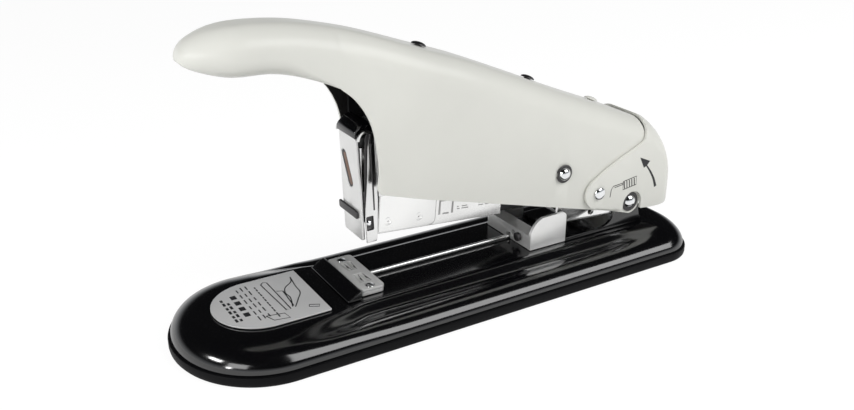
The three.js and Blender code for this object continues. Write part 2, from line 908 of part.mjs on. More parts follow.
// Outline of the handle at one place along x, as half width, top, bottom and corner sizes
function handleSection(x, offset) {
  const tipEnd = tipX + tipReach;
  const reach = THREE.MathUtils.clamp((tipEnd - x) / tipReach, 0, 1);
  const round = Math.sqrt(1 - (1 - tipShare * tipShare) * reach * reach);
  const onGrip = x <= gripEndX;
  return {
    halfWidth: handleHalfAt(x) * round - offset,
    top: heightOn(crownLine, x) - offset,
    foot: onGrip ? heightOn(gripLine, x) + offset : openZ,
    topRadius: Math.max(shoulderRadius - offset, offset),
    footRadius: onGrip ? Math.max(gripRadius - offset, offset) : edgeRadius,
  };
}

function sectionRing(x, section) {
  const { halfWidth, top, foot } = section;
  const room = Math.min(halfWidth, (top - foot) * half);
  const topRadius = Math.min(section.topRadius, room);
  const footRadius = Math.min(section.footRadius, room);
  const right = Math.PI * half;
  const corners = [
    [halfWidth - footRadius, foot + footRadius, footRadius, -right, 0, 3],
    [halfWidth - topRadius, top - topRadius, topRadius, 0, right, 6],
    [topRadius - halfWidth, top - topRadius, topRadius, right, 2 * right, 6],
    [footRadius - halfWidth, foot + footRadius, footRadius, 2 * right, 3 * right, 3],
  ];
  const ring = corners.flatMap((corner) => arcPoints(...corner));
  return ring.map(([y, z]) => new THREE.Vector3(x, y, z));
}

function handleStations(fromX) {
  const tipSteps = [0, 0.04, 0.12, 0.25, 0.42, 0.65, 1];
  const tip = tipSteps.map((share) => tipX + tipReach * share);
  const rest = crownLine.map(([x]) => x).filter((x) => x > tipX + tipReach && x < gripEndX);
  const body = crownLine.map(([x]) => x).filter((x) => x > gripEndX);
  const justPast = gripEndX + seat;
  return [...tip, ...rest, gripEndX, justPast, ...body].filter((x) => x >= fromX);
}

function handleSkin(fromX, offset) {
  const stations = handleStations(fromX);
  if (offset > 0) stations[stations.length - 1] += cutOver;
  return loft(stations.map((x) => sectionRing(x, handleSection(x, offset))));
}

function handleOutline() {
  const heel = arcPoints(pinX, pinZ, handleHeel, -Math.PI * half, 0, 5);
  return [
    [tipX - tipReach, handleTopZ],
    [tipX - tipReach, throatLine[0][1]],
    ...throatLine,
    ...handleFootLine,
    ...heel,
    [handleBackX, handleBackZ - earRadius],
    [handleBackX, handleTopZ],
  ];
}

function crownAngle(x) {
  const rise = heightOn(crownLine, x + cutOver) - heightOn(crownLine, x - cutOver);
  return -Math.atan2(rise, 2 * cutOver);
}

// Turns a solid built round the z axis onto the crown of the handle at x
function onCrown(geometry, x) {
  geometry.rotateY(crownAngle(x));
  geometry.translate(x, 0, heightOn(crownLine, x));
  return toSolid(geometry);
}

// Lathe profile round y, stood up along z
function uprightLathe(pairs) {
  const lathe = new THREE.LatheGeometry(pairs.map(([r, z]) => new THREE.Vector2(r, z)), roundSides);
  lathe.rotateX(Math.PI * half);
  return lathe;
}

function handleShell() {
  const full = handleSkin(tipX, 0).intersect(sideSlab(handleOutline(), handleHalf + cutOver));
  const hollow = handleSkin(hollowFrontX, handleWall);
  const bores = [
    crossBar(pinX, pinZ, -footWidth, footWidth, pinRadius + seat),
    crossBar(crossX, crossZ, -footWidth, footWidth, crossRadius + seat),
    crossBar(capPivotX, capPivotZ, -footWidth, footWidth, capShankRadius + seat),
  ];
  const rivetHoles = crownRivetX.map((x) => {
    const radius = crownShankRadius + seat;
    const tool = new THREE.CylinderGeometry(radius, radius, shoulderRadius, roundSides);
    tool.rotateX(Math.PI * half);
    return onCrown(tool, x);
  });
  return piece("handle_shell", cutAll(full, [hollow, ...bores, ...rivetHoles]), warmWhite);
}

function crownRivets() {
  const names = ["crown_rivet_front", "crown_rivet_middle", "crown_rivet_rear"];
  return crownRivetX.map((x, i) => {
    const steps = 4;
    const low = -handleWall - seat;
    const pairs = [
      [0, low],
      [crownShankRadius, low],
      [crownShankRadius, seat],
      [crownRivetRadius, seat],
    ];
    for (let k = 1; k < steps; k++) {
      const angle = (Math.PI * half * k) / steps;
      pairs.push([crownRivetRadius * Math.cos(angle), seat + crownRivetRise * Math.sin(angle)]);
    }
    pairs.push([0, seat + crownRivetRise]);
    const finish = i < 2 ? darkSteel : warmWhite;
    return piece(names[i], onCrown(uprightLathe(pairs), x), finish);
  });
}

// Steel frame inside the handle, with the arm that presses on the driver
function handleLiner() {
  const crownAt = (x) => heightOn(crownLine, x) - linerCrownDrop;
  const footAt = (x) => heightOn(handleFootLine, x) + linerFootRise;
  const crownXs = [linerRearX, ...linerKneeX, linerFrontX];
  const outline = [
    [linerFrontX, footAt(linerFrontX)],
    [linerRearX, footAt(linerRearX)],
    ...crownXs.map((x) => [x, crownAt(x)]),
  ];
  const webBack = linerRearX + cutOver;
  const roof = [
    [linerFrontX - cutOver, -footWidth],
    [webBack, -footWidth],
    [webBack, crownAt(linerRearX) - sheet],
    ...linerKneeX.map((x) => [x, crownAt(x) - sheet]),
    [linerFrontX - cutOver, crownAt(linerFrontX) - sheet],
  ];
  const outer = handleSkin(hollowFrontX, handleWall + seat);
  const inner = handleSkin(hollowFrontX, handleWall + seat + sheet);
  const mouth = block(linerFrontX - cutOver, linerWebFrontX, -footWidth, footWidth, -footWidth, handleTopZ);
  const room = joinAll([sideSlab(roof, footWidth), mouth]).intersect(inner);
  const shell = sideSlab(outline, footWidth).intersect(outer).subtract(room);
  const arm = sideSlab([...armFoot, ...armTop], armHalf);
  const pivot = crossBar(crossX, crossZ, -footWidth, footWidth, crossRadius + seat);
  return piece("handle_liner", shell.add(arm).subtract(pivot), blackSatin);
}

function crossPin() {
  const reach = handleHalf + 2 * seat + crossWasherThick;
  const pin = domedPin(crossX, crossZ, reach, crossRadius, crossRadius + seat, headReach);
  const washers = [-1, 1].map((side) => {
    const y0 = handleHalf + seat;
    const y1 = y0 + crossWasherThick;
    const low = Math.min(side * y0, side * y1);
    const high = Math.max(side * y0, side * y1);
    const ring = crossBar(crossX, crossZ, low, high, crossWasherRadius);
    const hole = crossBar(crossX, crossZ, -footWidth, footWidth, crossRadius + seat);
    return piece(side < 0 ? "cross_washer_near" : "cross_washer_far", ring.subtract(hole), darkSteel);
  });
  return [piece("cross_pin", pin, chromed), ...washers];
}

function capRivets() {
  return [-1, 1].map((side) => {
    const inside = handleHalf - handleWall;
    const whole = domedPin(capPivotX, capPivotZ, capHalf + seat, capShankRadius, capRivetRadius, sheet);
    const far = capPivotX + footWidth;
    const low = side < 0 ? -footWidth : inside;
    const kept = block(-far, far, low, low + footWidth - inside, 0, far);
    return piece(side < 0 ? "cap_rivet_near" : "cap_rivet_far", whole.intersect(kept), chromed);
  });
}

// Skin of the rear cap, rounded over its back edge
function capSkin(offset) {
  const cornerX = capEndX - capCornerRadius;
  const backXs = capBackLine.map(([x]) => x).filter((x) => x < cornerX);
  const stations = [...backXs, ...capEndShares.map((share) => cornerX + capCornerRadius * share)];
  const rings = stations.map((x) => {
    const past = Math.max(0, x - cornerX) / capCornerRadius;
    const pull = capCornerRadius * (1 - Math.sqrt(Math.max(0, 1 - past * past)));
    const section = {
      halfWidth: capHalf - pull - offset,
      top: heightOn(capBackLine, x) - offset,
      foot: openZ,
      topRadius: shoulderRadius + capPlay + capWall - offset,
      footRadius: edgeRadius,
    };
    return sectionRing(x - offset * Math.sign(past), section);
  });
  return loft(rings);
}

function rearCap() {
  const from = Math.PI * capLobeStartShare;
  const to = Math.PI * capLobeEndShare;
  const lobe = arcPoints(capPivotX, capPivotZ, capLobeRadius, from, to, 12);
  const outline = [
    ...lobe,
    ...capFootLine,
    [capEndX + cutOver, capPivotZ],
    [capEndX + cutOver, handleTopZ],
    [capTopFrontX, handleTopZ],
    ...capSeamLine,
  ];
  const full = capSkin(0).intersect(sideSlab(outline, capHalf + cutOver));
  const notch = crossBar(pinX, pinZ, -footWidth, footWidth, capNotchRadius);
  const wide = capNotchRadius;
  const exit = block(pinX - wide, pinX + wide, -footWidth, footWidth, 0, pinZ);
  const bore = crossBar(capPivotX, capPivotZ, -footWidth, footWidth, capShankRadius + seat);
  const cap = cutAll(full, [capSkin(capWall), notch, exit, bore]);
  return piece("rear_cap", cap, warmWhite);
}

// Bodies that move as one, each in its own group
function gather(name, pieces) {
  const group = new THREE.Group();
  group.name = name;
  group.add(...pieces);
  return group;
}

function magazineFrame(name, pieces) {
  const group = gather(name, pieces);
  group.position.set(pinX, 0, pinZ);
  group.rotation.y = magazineTilt;
  return group;
}

function headGroup(name, pieces) {
  const group = gather(name, pieces);
  group.position.set(headX, 0, headZ);
  group.rotation.y = headTilt;
  return group;
}

const base = gather("base_group", [
  footTray(),
  ...footPads(),
  baseShell(),
  infoPlate(),
  anvilRamp(),
  ...anvilStack(),
  guideRod(),
  hingeBracket(),
  ...bracketRivets(),
  hingePin(),
]);
const stop = gather("stop_group", [depthStop(), stopScrew()]);
const magazine = magazineFrame("magazine_group", [
  magazineChannel(),
  magazineCore(),
  stapleStrip(),
  magazineCarrier(),
]);
const pusher = magazineFrame("pusher_group", [staplePusher()]);
const head = headGroup("head_group", [headLeaf(), headFrame(), headStrap(), headCap()]);
const driver = headGroup("driver_group", [driverBlade(), driverBlock()]);
const handle = gather("handle_group", [
  handleShell(),
  handleLiner(),
  ...crownRivets(),
  ...crossPin(),
  ...capRivets(),
]);
const cap = gather("cap_group", [rearCap()]);

const group = gather("heavy_duty_stapler", [base, stop, magazine, pusher, head, driver, handle, cap]);
export default group;
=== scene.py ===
"""Looks of a heavy duty desk stapler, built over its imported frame."""

from __future__ import annotations

import json
import logging
import math
from dataclasses import dataclass
from enum import Enum
from typing import Iterable, Sequence

import bmesh
import bpy
from bmesh.types import BMesh
from bpy.types import ID, Material, Modifier, Node, NodeSocket, NodeTree, Object
from mathutils import Matrix, Vector

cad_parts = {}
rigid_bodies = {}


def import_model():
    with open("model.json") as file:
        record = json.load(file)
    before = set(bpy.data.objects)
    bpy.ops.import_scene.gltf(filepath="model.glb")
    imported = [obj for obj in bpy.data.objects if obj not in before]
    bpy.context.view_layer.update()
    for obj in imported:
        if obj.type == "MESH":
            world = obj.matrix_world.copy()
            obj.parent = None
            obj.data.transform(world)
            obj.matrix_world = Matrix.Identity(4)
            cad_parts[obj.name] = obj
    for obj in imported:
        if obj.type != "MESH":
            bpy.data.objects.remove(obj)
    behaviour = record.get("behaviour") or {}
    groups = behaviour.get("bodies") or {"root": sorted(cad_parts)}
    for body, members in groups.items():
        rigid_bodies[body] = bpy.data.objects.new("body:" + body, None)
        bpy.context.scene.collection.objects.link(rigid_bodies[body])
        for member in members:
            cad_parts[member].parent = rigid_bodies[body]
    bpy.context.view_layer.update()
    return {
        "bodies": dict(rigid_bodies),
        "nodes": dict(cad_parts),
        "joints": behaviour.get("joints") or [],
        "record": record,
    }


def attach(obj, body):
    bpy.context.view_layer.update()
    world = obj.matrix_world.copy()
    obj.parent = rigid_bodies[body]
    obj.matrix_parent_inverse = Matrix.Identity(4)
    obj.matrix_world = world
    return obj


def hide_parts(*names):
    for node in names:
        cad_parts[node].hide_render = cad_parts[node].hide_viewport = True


MM = 0.001
TURN = 2 * math.pi
QUARTER = math.pi / 2
SIDES = ((-1, "near"), (1, "far"))
LOG = logging.getLogger("stapler")

Point = tuple[float, float]
Triple = tuple[float, float, float]
Ring = list[Vector]


class Axis(Enum):
    """Axis that an outline is extruded along, by its place in a coordinate."""

    X = 0
    Y = 1
    Z = 2


class Solid(Enum):
    """How one solid is combined with another."""

    CUT = "DIFFERENCE"
    JOIN = "UNION"
    KEEP = "INTERSECT"


class Grain(Enum):
    """How a surface's fine relief runs."""

    PEEL = "peel"
    BRUSHED_X = "brushed_x"
    BRUSHED_Y = "brushed_y"
    BRUSHED_Z = "brushed_z"
    MOULDED = "moulded"
    POLISHED = "polished"


@dataclass(frozen=True)
class Finish:
    """One surface finish.

    Args:
        name: Material name.
        color: Linear base colour.
        roughness: Mean roughness.
        metallic: 0 for paint and plastic, 1 for bare metal.
        grain: Direction of the fine relief.
        size: Size of one grain feature, in millimetres.
        depth: Height of the relief, in millimetres.
        vary: Share by which colour and roughness wander.
        coat: Weight of a clear coat.
        edge: Linear colour that shows where edges are worn.
        wear: Share of wear on the edges.
        specular: Strength of the plain surface's own reflection.
    """

    name: str
    color: Triple
    roughness: float
    metallic: float
    grain: Grain
    size: float
    depth: float
    vary: float
    coat: float = 0.0
    edge: Triple = (0.5, 0.5, 0.5)
    wear: float = 0.0
    specular: float = 0.5


class Look(Enum):
    """The finishes of the stapler."""

    WARM_WHITE = Finish("warm_white", (0.72, 0.722, 0.675), 0.3, 0.0, Grain.PEEL, 1.6, 0.0022, 0.02, 0.14,
                        (0.62, 0.62, 0.58), 0.2, 0.2)
    GLOSS_BLACK = Finish("gloss_black", (0.0018, 0.0018, 0.0023), 0.13, 0.0, Grain.PEEL, 1.9, 0.0022, 0.12,
                         0.0, (0.012, 0.012, 0.013), 0.3, 0.95)
    SATIN_BLACK = Finish("satin_black", (0.011, 0.011, 0.012), 0.42, 0.0, Grain.MOULDED, 0.5, 0.012, 0.15,
                         0.0, (0.07, 0.07, 0.075), 0.5)
    FOOT_BLACK = Finish("foot_black", (0.0022, 0.0022, 0.0028), 0.5, 0.0, Grain.MOULDED, 0.42, 0.012, 0.12,
                        0.0, (0.012, 0.012, 0.013), 0.3, 0.12)
    DARK_STEEL = Finish("dark_steel", (0.07, 0.068, 0.07), 0.34, 0.85, Grain.BRUSHED_X, 0.25, 0.003, 0.2,
                        0.0, (0.4, 0.4, 0.4), 0.6)
    RUBBER = Finish("rubber", (0.012, 0.012, 0.013), 0.8, 0.0, Grain.MOULDED, 0.6, 0.03, 0.15)
    BRIGHT_STEEL = Finish("bright_steel", (0.8, 0.8, 0.795), 0.2, 1.0, Grain.BRUSHED_Z, 0.22, 0.0016, 0.1,
                          0.0, (0.9, 0.9, 0.9), 0.5)
    LEAF = Finish("leaf_steel", (0.8, 0.8, 0.79), 0.32, 0.6, Grain.BRUSHED_Z, 0.25, 0.003, 0.1, 0.0,
                  (0.9, 0.9, 0.9), 0.5)
    COPPER = Finish("worn_copper", (0.2, 0.12, 0.085), 0.45, 0.5, Grain.BRUSHED_Z, 0.5, 0.01, 0.5)
    CHANNEL_STEEL = Finish("channel_steel", (0.9, 0.9, 0.89), 0.2, 1.0, Grain.BRUSHED_X, 0.3, 0.0012, 0.08,
                           0.0, (0.9, 0.9, 0.9), 0.4)
    PLATE = Finish("brushed_plate", (0.6, 0.6, 0.6), 0.4, 0.3, Grain.BRUSHED_Y, 0.18, 0.004, 0.07, 0.0,
                   (0.75, 0.75, 0.76), 0.3)
    ANVIL = Finish("ground_steel", (0.72, 0.72, 0.71), 0.36, 0.5, Grain.BRUSHED_Y, 0.2, 0.004, 0.1, 0.0,
                   (0.85, 0.85, 0.85), 0.4)
    # etched marks, and painted shade on the floors of the anvil's grooves
    ETCHED_AND_SHADE = Finish("etched_mark_and_shade", (0.52, 0.52, 0.51), 0.5, 0.2, Grain.MOULDED, 0.4, 0.002, 0.15)
    # painted shade: near-black for the inward faces of the handle's hollow
    HOLLOW_SHADE = Finish("painted_hollow_shade", (0.012, 0.0105, 0.0105), 0.5, 0.0, Grain.MOULDED, 0.7, 0.02, 0.2)
    CHROME = Finish("chrome", (0.84, 0.85, 0.86), 0.07, 1.0, Grain.POLISHED, 2.5, 0.0012, 0.05)
    ROD = Finish("plated_rod", (0.86, 0.86, 0.85), 0.12, 0.9, Grain.BRUSHED_X, 0.3, 0.001, 0.05)
    STAPLE = Finish("staple_wire", (0.62, 0.62, 0.63), 0.28, 1.0, Grain.BRUSHED_Z, 0.3, 0.002, 0.12)
    INK = Finish("ink", (0.012, 0.012, 0.014), 0.5, 0.0, Grain.MOULDED, 0.4, 0.001, 0.1)


SLOTS = {
    Look.WARM_WHITE: "warm_white",
    Look.GLOSS_BLACK: "gloss_black",
    Look.SATIN_BLACK: "satin_black",
    Look.FOOT_BLACK: "satin_black",
    Look.DARK_STEEL: "dark_steel",
    Look.RUBBER: "rubber",
    Look.BRIGHT_STEEL: "bright_steel",
    Look.CHANNEL_STEEL: "bright_steel",
    Look.LEAF: "bright_steel",
    Look.COPPER: "dark_steel",
    Look.PLATE: "brushed_plate",
    Look.CHROME: "chromed",
    Look.ANVIL: "bright_steel",
    Look.ROD: "chromed",
    Look.STAPLE: "brushed_plate",
    Look.ETCHED_AND_SHADE: "dark_steel",
    Look.INK: "satin_black",
    Look.HOLLOW_SHADE: "satin_black",
}


class NodeGraph:
    """Thin helper over one node tree."""

    def __init__(self, tree: NodeTree) -> None:
        """Keeps the tree."""
        self.tree = tree

    def add(self, kind: str, **settings: object) -> Node:
        """Adds a node.

        Args:
            kind: Node type name.
            settings: Properties of the node.

        Returns:
            The new node.
        """
        node = self.tree.nodes.new(kind)
        for key, value in settings.items():
            setattr(node, key, value)
        return node

    def link(self, start: NodeSocket, end: NodeSocket) -> None:
        """Joins two sockets."""
        self.tree.links.new(start, end)

    def noise(self, coords: NodeSocket, scale: float, detail: float = 3.0) -> NodeSocket:
        """Adds a noise texture.

        Args:
            coords: Where the noise is looked up.
            scale: Features per metre.
            detail: Layers of finer noise.

        Returns:
            Its value socket.
        """
        node = self.add("ShaderNodeTexNoise")
        node.inputs["Scale"].default_value = scale
        node.inputs["Detail"].default_value = detail
        self.link(coords, node.inputs["Vector"])
        return node.outputs["Fac"]

    def remap(self, value: NodeSocket, low: float, high: float, start: float = 0.3,
              end: float = 0.7) -> NodeSocket:
        """Maps start..end of a value onto low..high.

        Args:
            value: Socket of the value.
            low: Result at start.
            high: Result at end.
            start: Value that gives low.
            end: Value that gives high.

        Returns:
            The result's socket.
        """
        node = self.add("ShaderNodeMapRange")
        for key, number in (("From Min", start), ("From Max", end), ("To Min", low), ("To Max", high)):
            node.inputs[key].default_value = number
        self.link(value, node.inputs["Value"])
        return node.outputs["Result"]

    def mix(self, share: NodeSocket, first: Node, second: Node) -> Node:
        """Mixes two shaders.

        Args:
            share: Share of the second shader.
            first: Node of the first shader.
            second: Node of the second shader.

        Returns:
            The mixing node.
        """
        node = self.add("ShaderNodeMixShader")
        for start, end in zip((share, first.outputs[0], second.outputs[0]), node.inputs):
            self.link(start, end)
        return node


class MaterialLibrary:
    """Builds each finish once, as a procedural material."""

    EVEN = (1.0, 1.0, 1.0)
    STRETCH = {
        Grain.BRUSHED_X: (0.03, 1.0, 1.0),
        Grain.BRUSHED_Y: (1.0, 0.03, 1.0),
        Grain.BRUSHED_Z: (1.0, 1.0, 0.03),
    }

    def __init__(self) -> None:
        """Starts with no material made."""
        self._made: dict[str, Material] = {}

    def get(self, look: Look) -> Material:
        """Returns the material of a finish.

        Args:
            look: One of the stapler's finishes.

        Returns:
            Its material, made on first use.
        """
        finish = look.value
        if finish.name not in self._made:
            self._made[finish.name] = self._build(finish)
        return self._made[finish.name]

    def _build(self, finish: Finish) -> Material:
        """Makes the material of a finish.

        Args:
            finish: The finish.

        Returns:
            The new material.
        """
        material = bpy.data.materials.new(finish.name)
        material.use_nodes = True
        graph = NodeGraph(material.node_tree)
        shader = material.node_tree.nodes["Principled BSDF"]
        coords = graph.add("ShaderNodeTexCoord").outputs["Object"]
        self._colour(graph, shader, finish, graph.noise(coords, 35.0))
        self._roughness(graph, shader, finish, graph.noise(coords, 140.0, 5.0))
        self._relief(graph, shader, finish, coords)
        for name, value in (("Metallic", finish.metallic), ("Coat Weight", finish.coat),
                            ("Coat Roughness", 0.06), ("Specular IOR Level", finish.specular)):
            shader.inputs[name].default_value = value
        return material

    def _colour(self, graph: NodeGraph, shader: Node, finish: Finish, broad: NodeSocket) -> None:
        """Lets the colour wander and shows wear on the edges.

        Args:
            graph: Helper over the material's nodes.
            shader: Node that takes the colour.
            finish: The finish.
            broad: Wide noise that the colour follows.
        """
        darker = graph.add("ShaderNodeMix", data_type="RGBA")
        darker.inputs["A"].default_value = (*(c * (1 - finish.vary) for c in finish.color), 1)
        darker.inputs["B"].default_value = (*(min(1.0, c * (1 + finish.vary)) for c in finish.color), 1)
        graph.link(graph.remap(broad, 0.0, 1.0), darker.inputs["Factor"])
        tone = darker.outputs["Result"]
        if finish.wear > 0:
            worn = graph.add("ShaderNodeMix", data_type="RGBA")
            worn.inputs["B"].default_value = (*finish.edge, 1)
            graph.link(tone, worn.inputs["A"])
            graph.link(self._edge_mask(graph, finish.wear), worn.inputs["Factor"])
            tone = worn.outputs["Result"]
        graph.link(tone, shader.inputs["Base Color"])

    @staticmethod
    def _edge_mask(graph: NodeGraph, wear: float) -> NodeSocket:
        """Finds the edges, where a rounded normal differs from the real one.

        Args:
            graph: Helper over the material's nodes.
            wear: Share of wear on the edges.

        Returns:
            Socket of the share that is worn.
        """
        rounded = graph.add("ShaderNodeBevel", samples=4)
        rounded.inputs["Radius"].default_value = 0.25 * MM
        plain = graph.add("ShaderNodeNewGeometry")
        dot = graph.add("ShaderNodeVectorMath", operation="DOT_PRODUCT")
        graph.link(rounded.outputs["Normal"], dot.inputs[0])
        graph.link(plain.outputs["Normal"], dot.inputs[1])
        edge = graph.remap(dot.outputs["Value"], wear, 0.0, 0.75, 0.995)
        breakup = graph.noise(graph.add("ShaderNodeTexCoord").outputs["Object"], 900.0)
        product = graph.add("ShaderNodeMath", operation="MULTIPLY", use_clamp=True)
        graph.link(edge, product.inputs[0])
        graph.link(graph.remap(breakup, 0.2, 1.0), product.inputs[1])
        return product.outputs["Value"]

    @staticmethod
    def _roughness(graph: NodeGraph, shader: Node, finish: Finish, smudge: NodeSocket) -> None:
        """Lets the roughness wander.

        Args:
            graph: Helper over the material's nodes.
            shader: Node that takes the roughness.
            finish: The finish.
            smudge: Noise that the roughness follows.
        """
        spread = max(finish.vary, 0.03)
        low, high = finish.roughness * (1 - spread), finish.roughness * (1 + spread)
        graph.link(graph.remap(smudge, low, high), shader.inputs["Roughness"])

    def _relief(self, graph: NodeGraph, shader: Node, finish: Finish, coords: NodeSocket) -> None:
        """Adds the fine relief, stretched along the grain.

        Args:
            graph: Helper over the material's nodes.
            shader: Node that takes the normal.
            finish: The finish.
            coords: Socket of the object's coordinates.
        """
        mapping = graph.add("ShaderNodeMapping")
        mapping.inputs["Scale"].default_value = self.STRETCH.get(finish.grain, self.EVEN)
        graph.link(coords, mapping.inputs["Vector"])
        bump = graph.add("ShaderNodeBump")
        bump.inputs["Strength"].default_value = 0.6
        bump.inputs["Distance"].default_value = finish.depth * MM
        graph.link(graph.noise(mapping.outputs["Vector"], 1.0 / (finish.size * MM)), bump.inputs["Height"])
        graph.link(bump.outputs["Normal"], shader.inputs["Normal"])


class Outline:
    """Plane outlines and curves in millimetres."""

    @staticmethod
    def arc(x: float, z: float, radius: float, start: float, end: float, steps: int) -> list[Point]:
        """Points on an arc round (x, z) between two angles in radians, both ends included."""
        angles = [start + (end - start) * i / steps for i in range(steps + 1)]
        return [(x + radius * math.cos(angle), z + radius * math.sin(angle)) for angle in angles]

    @staticmethod
    def circle(x: float, z: float, radius: float, steps: int) -> list[Point]:
        """Points on a whole circle."""
        return Outline.arc(x, z, radius, 0.0, TURN, steps)[:-1]

    @staticmethod
    def block(low: Point, high: Point, radius: float, steps: int) -> list[Point]:
        """A rectangle with rounded corners.

        Args:
            low: Its lowest corner.
            high: Its highest corner.
            radius: Radius of the corners.
            steps: Pieces of one corner.

        Returns:
            Its outline.
        """
        left, bottom = low[0] + radius, low[1] + radius
        right, top = high[0] - radius, high[1] - radius
        outline: list[Point] = []
        for turn, (x, z) in enumerate(((right, bottom), (right, top), (left, top), (left, bottom)), -1):
            outline += Outline.arc(x, z, radius, turn * QUARTER, (turn + 1) * QUARTER, steps)
        return outline

    @staticmethod
    def smooth(points: Sequence[Point], steps: int = 6) -> list[Point]:
        """Catmull-Rom curve through points.

        Args:
            points: Points that the curve passes.
            steps: Pieces per stretch.

        Returns:
            The finer line, both ends included.
        """
        padded = [points[0], *points, points[-1]]
        line: list[Point] = []
        for four in zip(padded, padded[1:], padded[2:], padded[3:]):
            for i in range(steps):
                t = i / steps
                line.append(tuple(
                    0.5 * (2 * b + (c - a) * t + (2 * a - 5 * b + 4 * c - d) * t * t
                           + (3 * b - a - 3 * c + d) * t**3)
                    for a, b, c, d in zip(*four)
                ))
        line.append(points[-1])
        return line

    @staticmethod
    def height(line: Sequence[Point], x: float) -> float:
        """Height of a line at x.

        Args:
            line: Points in the order of x.
            x: Place along the line.

        Returns:
            The height there, or at the nearer end.
        """
        if x <= line[0][0]:
            return line[0][1]
        for (x0, z0), (x1, z1) in zip(line, line[1:]):
            if x <= x1:
                return z0 + (z1 - z0) * (x - x0) / max(x1 - x0, 1e-9)
        return line[-1][1]

    @staticmethod
    def plan(front: float, rear: float, half: float, reach: float, corner: float) -> list[Point]:
        """Plan outline with an elliptic front and rounded rear corners.

        Args:
            front: Foremost x.
            rear: Rearmost x.
            half: Half of the width.
            reach: Length of the elliptic front.
            corner: Radius of the rear corners.

        Returns:
            The outline.
        """
        nose, turn, side = 72, 14, 24
        points: list[Point] = []
        for i in range(nose + 1):
            angle = math.pi * (0.5 + i / nose)
            points.append((front + reach + reach * math.cos(angle), half * math.sin(angle)))
        start, end = front + reach, rear - corner
        span = [start + (end - start) * i / side for i in range(1, side)]
        points += [(x, -half) for x in span]
        points += Outline.arc(end, corner - half, corner, -QUARTER, 0.0, turn)
        points += Outline.arc(end, half - corner, corner, 0.0, QUARTER, turn)
        points += [(x, half) for x in reversed(span)]
        return points

    @staticmethod
    def band(line: Sequence[Point], start: float, end: float) -> tuple[list[Point], list[Point]]:
        """Both edges of a band along an open line.

        Args:
            line: Middle of the band.
            start: Width at the first point.
            end: Width at the last point.

        Returns:
            The left edge and the right edge.
        """
        left: list[Point] = []
        right: list[Point] = []
        last = len(line) - 1
        for i, (u, v) in enumerate(line):
            (u0, v0), (u1, v1) = line[max(0, i - 1)], line[min(last, i + 1)]
            long = math.hypot(u1 - u0, v1 - v0) or 1.0
            width = start + (end - start) * i / last
            du, dv = -(v1 - v0) / long * width / 2, (u1 - u0) / long * width / 2
            left.append((u + du, v + dv))
            right.append((u - du, v - dv))
        return left, right


def smoothstep(x: float, low: float, high: float) -> float:
    """Smooth step from 0 at low to 1 at high."""
    t = min(1.0, max(0.0, (x - low) / (high - low)))
    return t * t * (3 - 2 * t)


def stations(start: float, end: float, step: float) -> list[float]:
    """Places from start on that lie before the end.

    Args:
        start: First place.
        end: Bound that none of them reaches.
        step: Distance between two of them.

    Returns:
        The places.
    """
    places: list[float] = []
    while start < end:
        places.append(start)
        start += step
    return places


def on_side(side: int, inner: float, outer: float) -> Point:
    """Both ends of what lies on one side, the lower end first."""
    return min(side * inner, side * outer), max(side * inner, side * outer)


def flipped(side: int, line: Iterable[Point]) -> list[Point]:
    """A turned profile of (y, radius), put on one side."""
    return [(side * y, radius) for y, radius in line]


def section_ring(x: float, half: float, top: float, foot: float, top_radius: float,
                 foot_radius: float) -> Ring:
    """One cross-section: an upright block whose corners are rounded, the upper ones wider than high.

    Args:
        x: Place of the section.
        half: Half of its width.
        top: Its upper end.
        foot: Its lower end.
        top_radius: Radius of the upper corners.
        foot_radius: Radius of the lower corners.

    Returns:
        The ring of points.
    """
    room = (top - foot) / 2
    wide, high = min(top_radius, half), min(top_radius, room)
    lower = min(foot_radius, room, half)
    low_right = Outline.arc(half - lower, foot + lower, lower, -QUARTER, 0.0, 6)
    low_left = Outline.arc(lower - half, foot + lower, lower, 2 * QUARTER, 3 * QUARTER, 6)
    upper = Outline.arc(0.0, 0.0, 1.0, 0.0, QUARTER, 12)
    high_right = [(half - wide + wide * u, top - high + high * v) for u, v in upper]
    high_left = [(wide - half - wide * u, top - high + high * v) for u, v in reversed(upper)]
    return [Vector((x, y, z)) for y, z in [*low_right, *high_right, *high_left, *low_left]]


def new_object(name: str, data: ID) -> Object:
    """Puts a new object into the scene.

    Args:
        name: Its name.
        data: What it holds: a mesh, camera or light.

    Returns:
        The object.
    """
    thing = bpy.data.objects.new(name, data)
    bpy.context.scene.collection.objects.link(thing)
    return thing


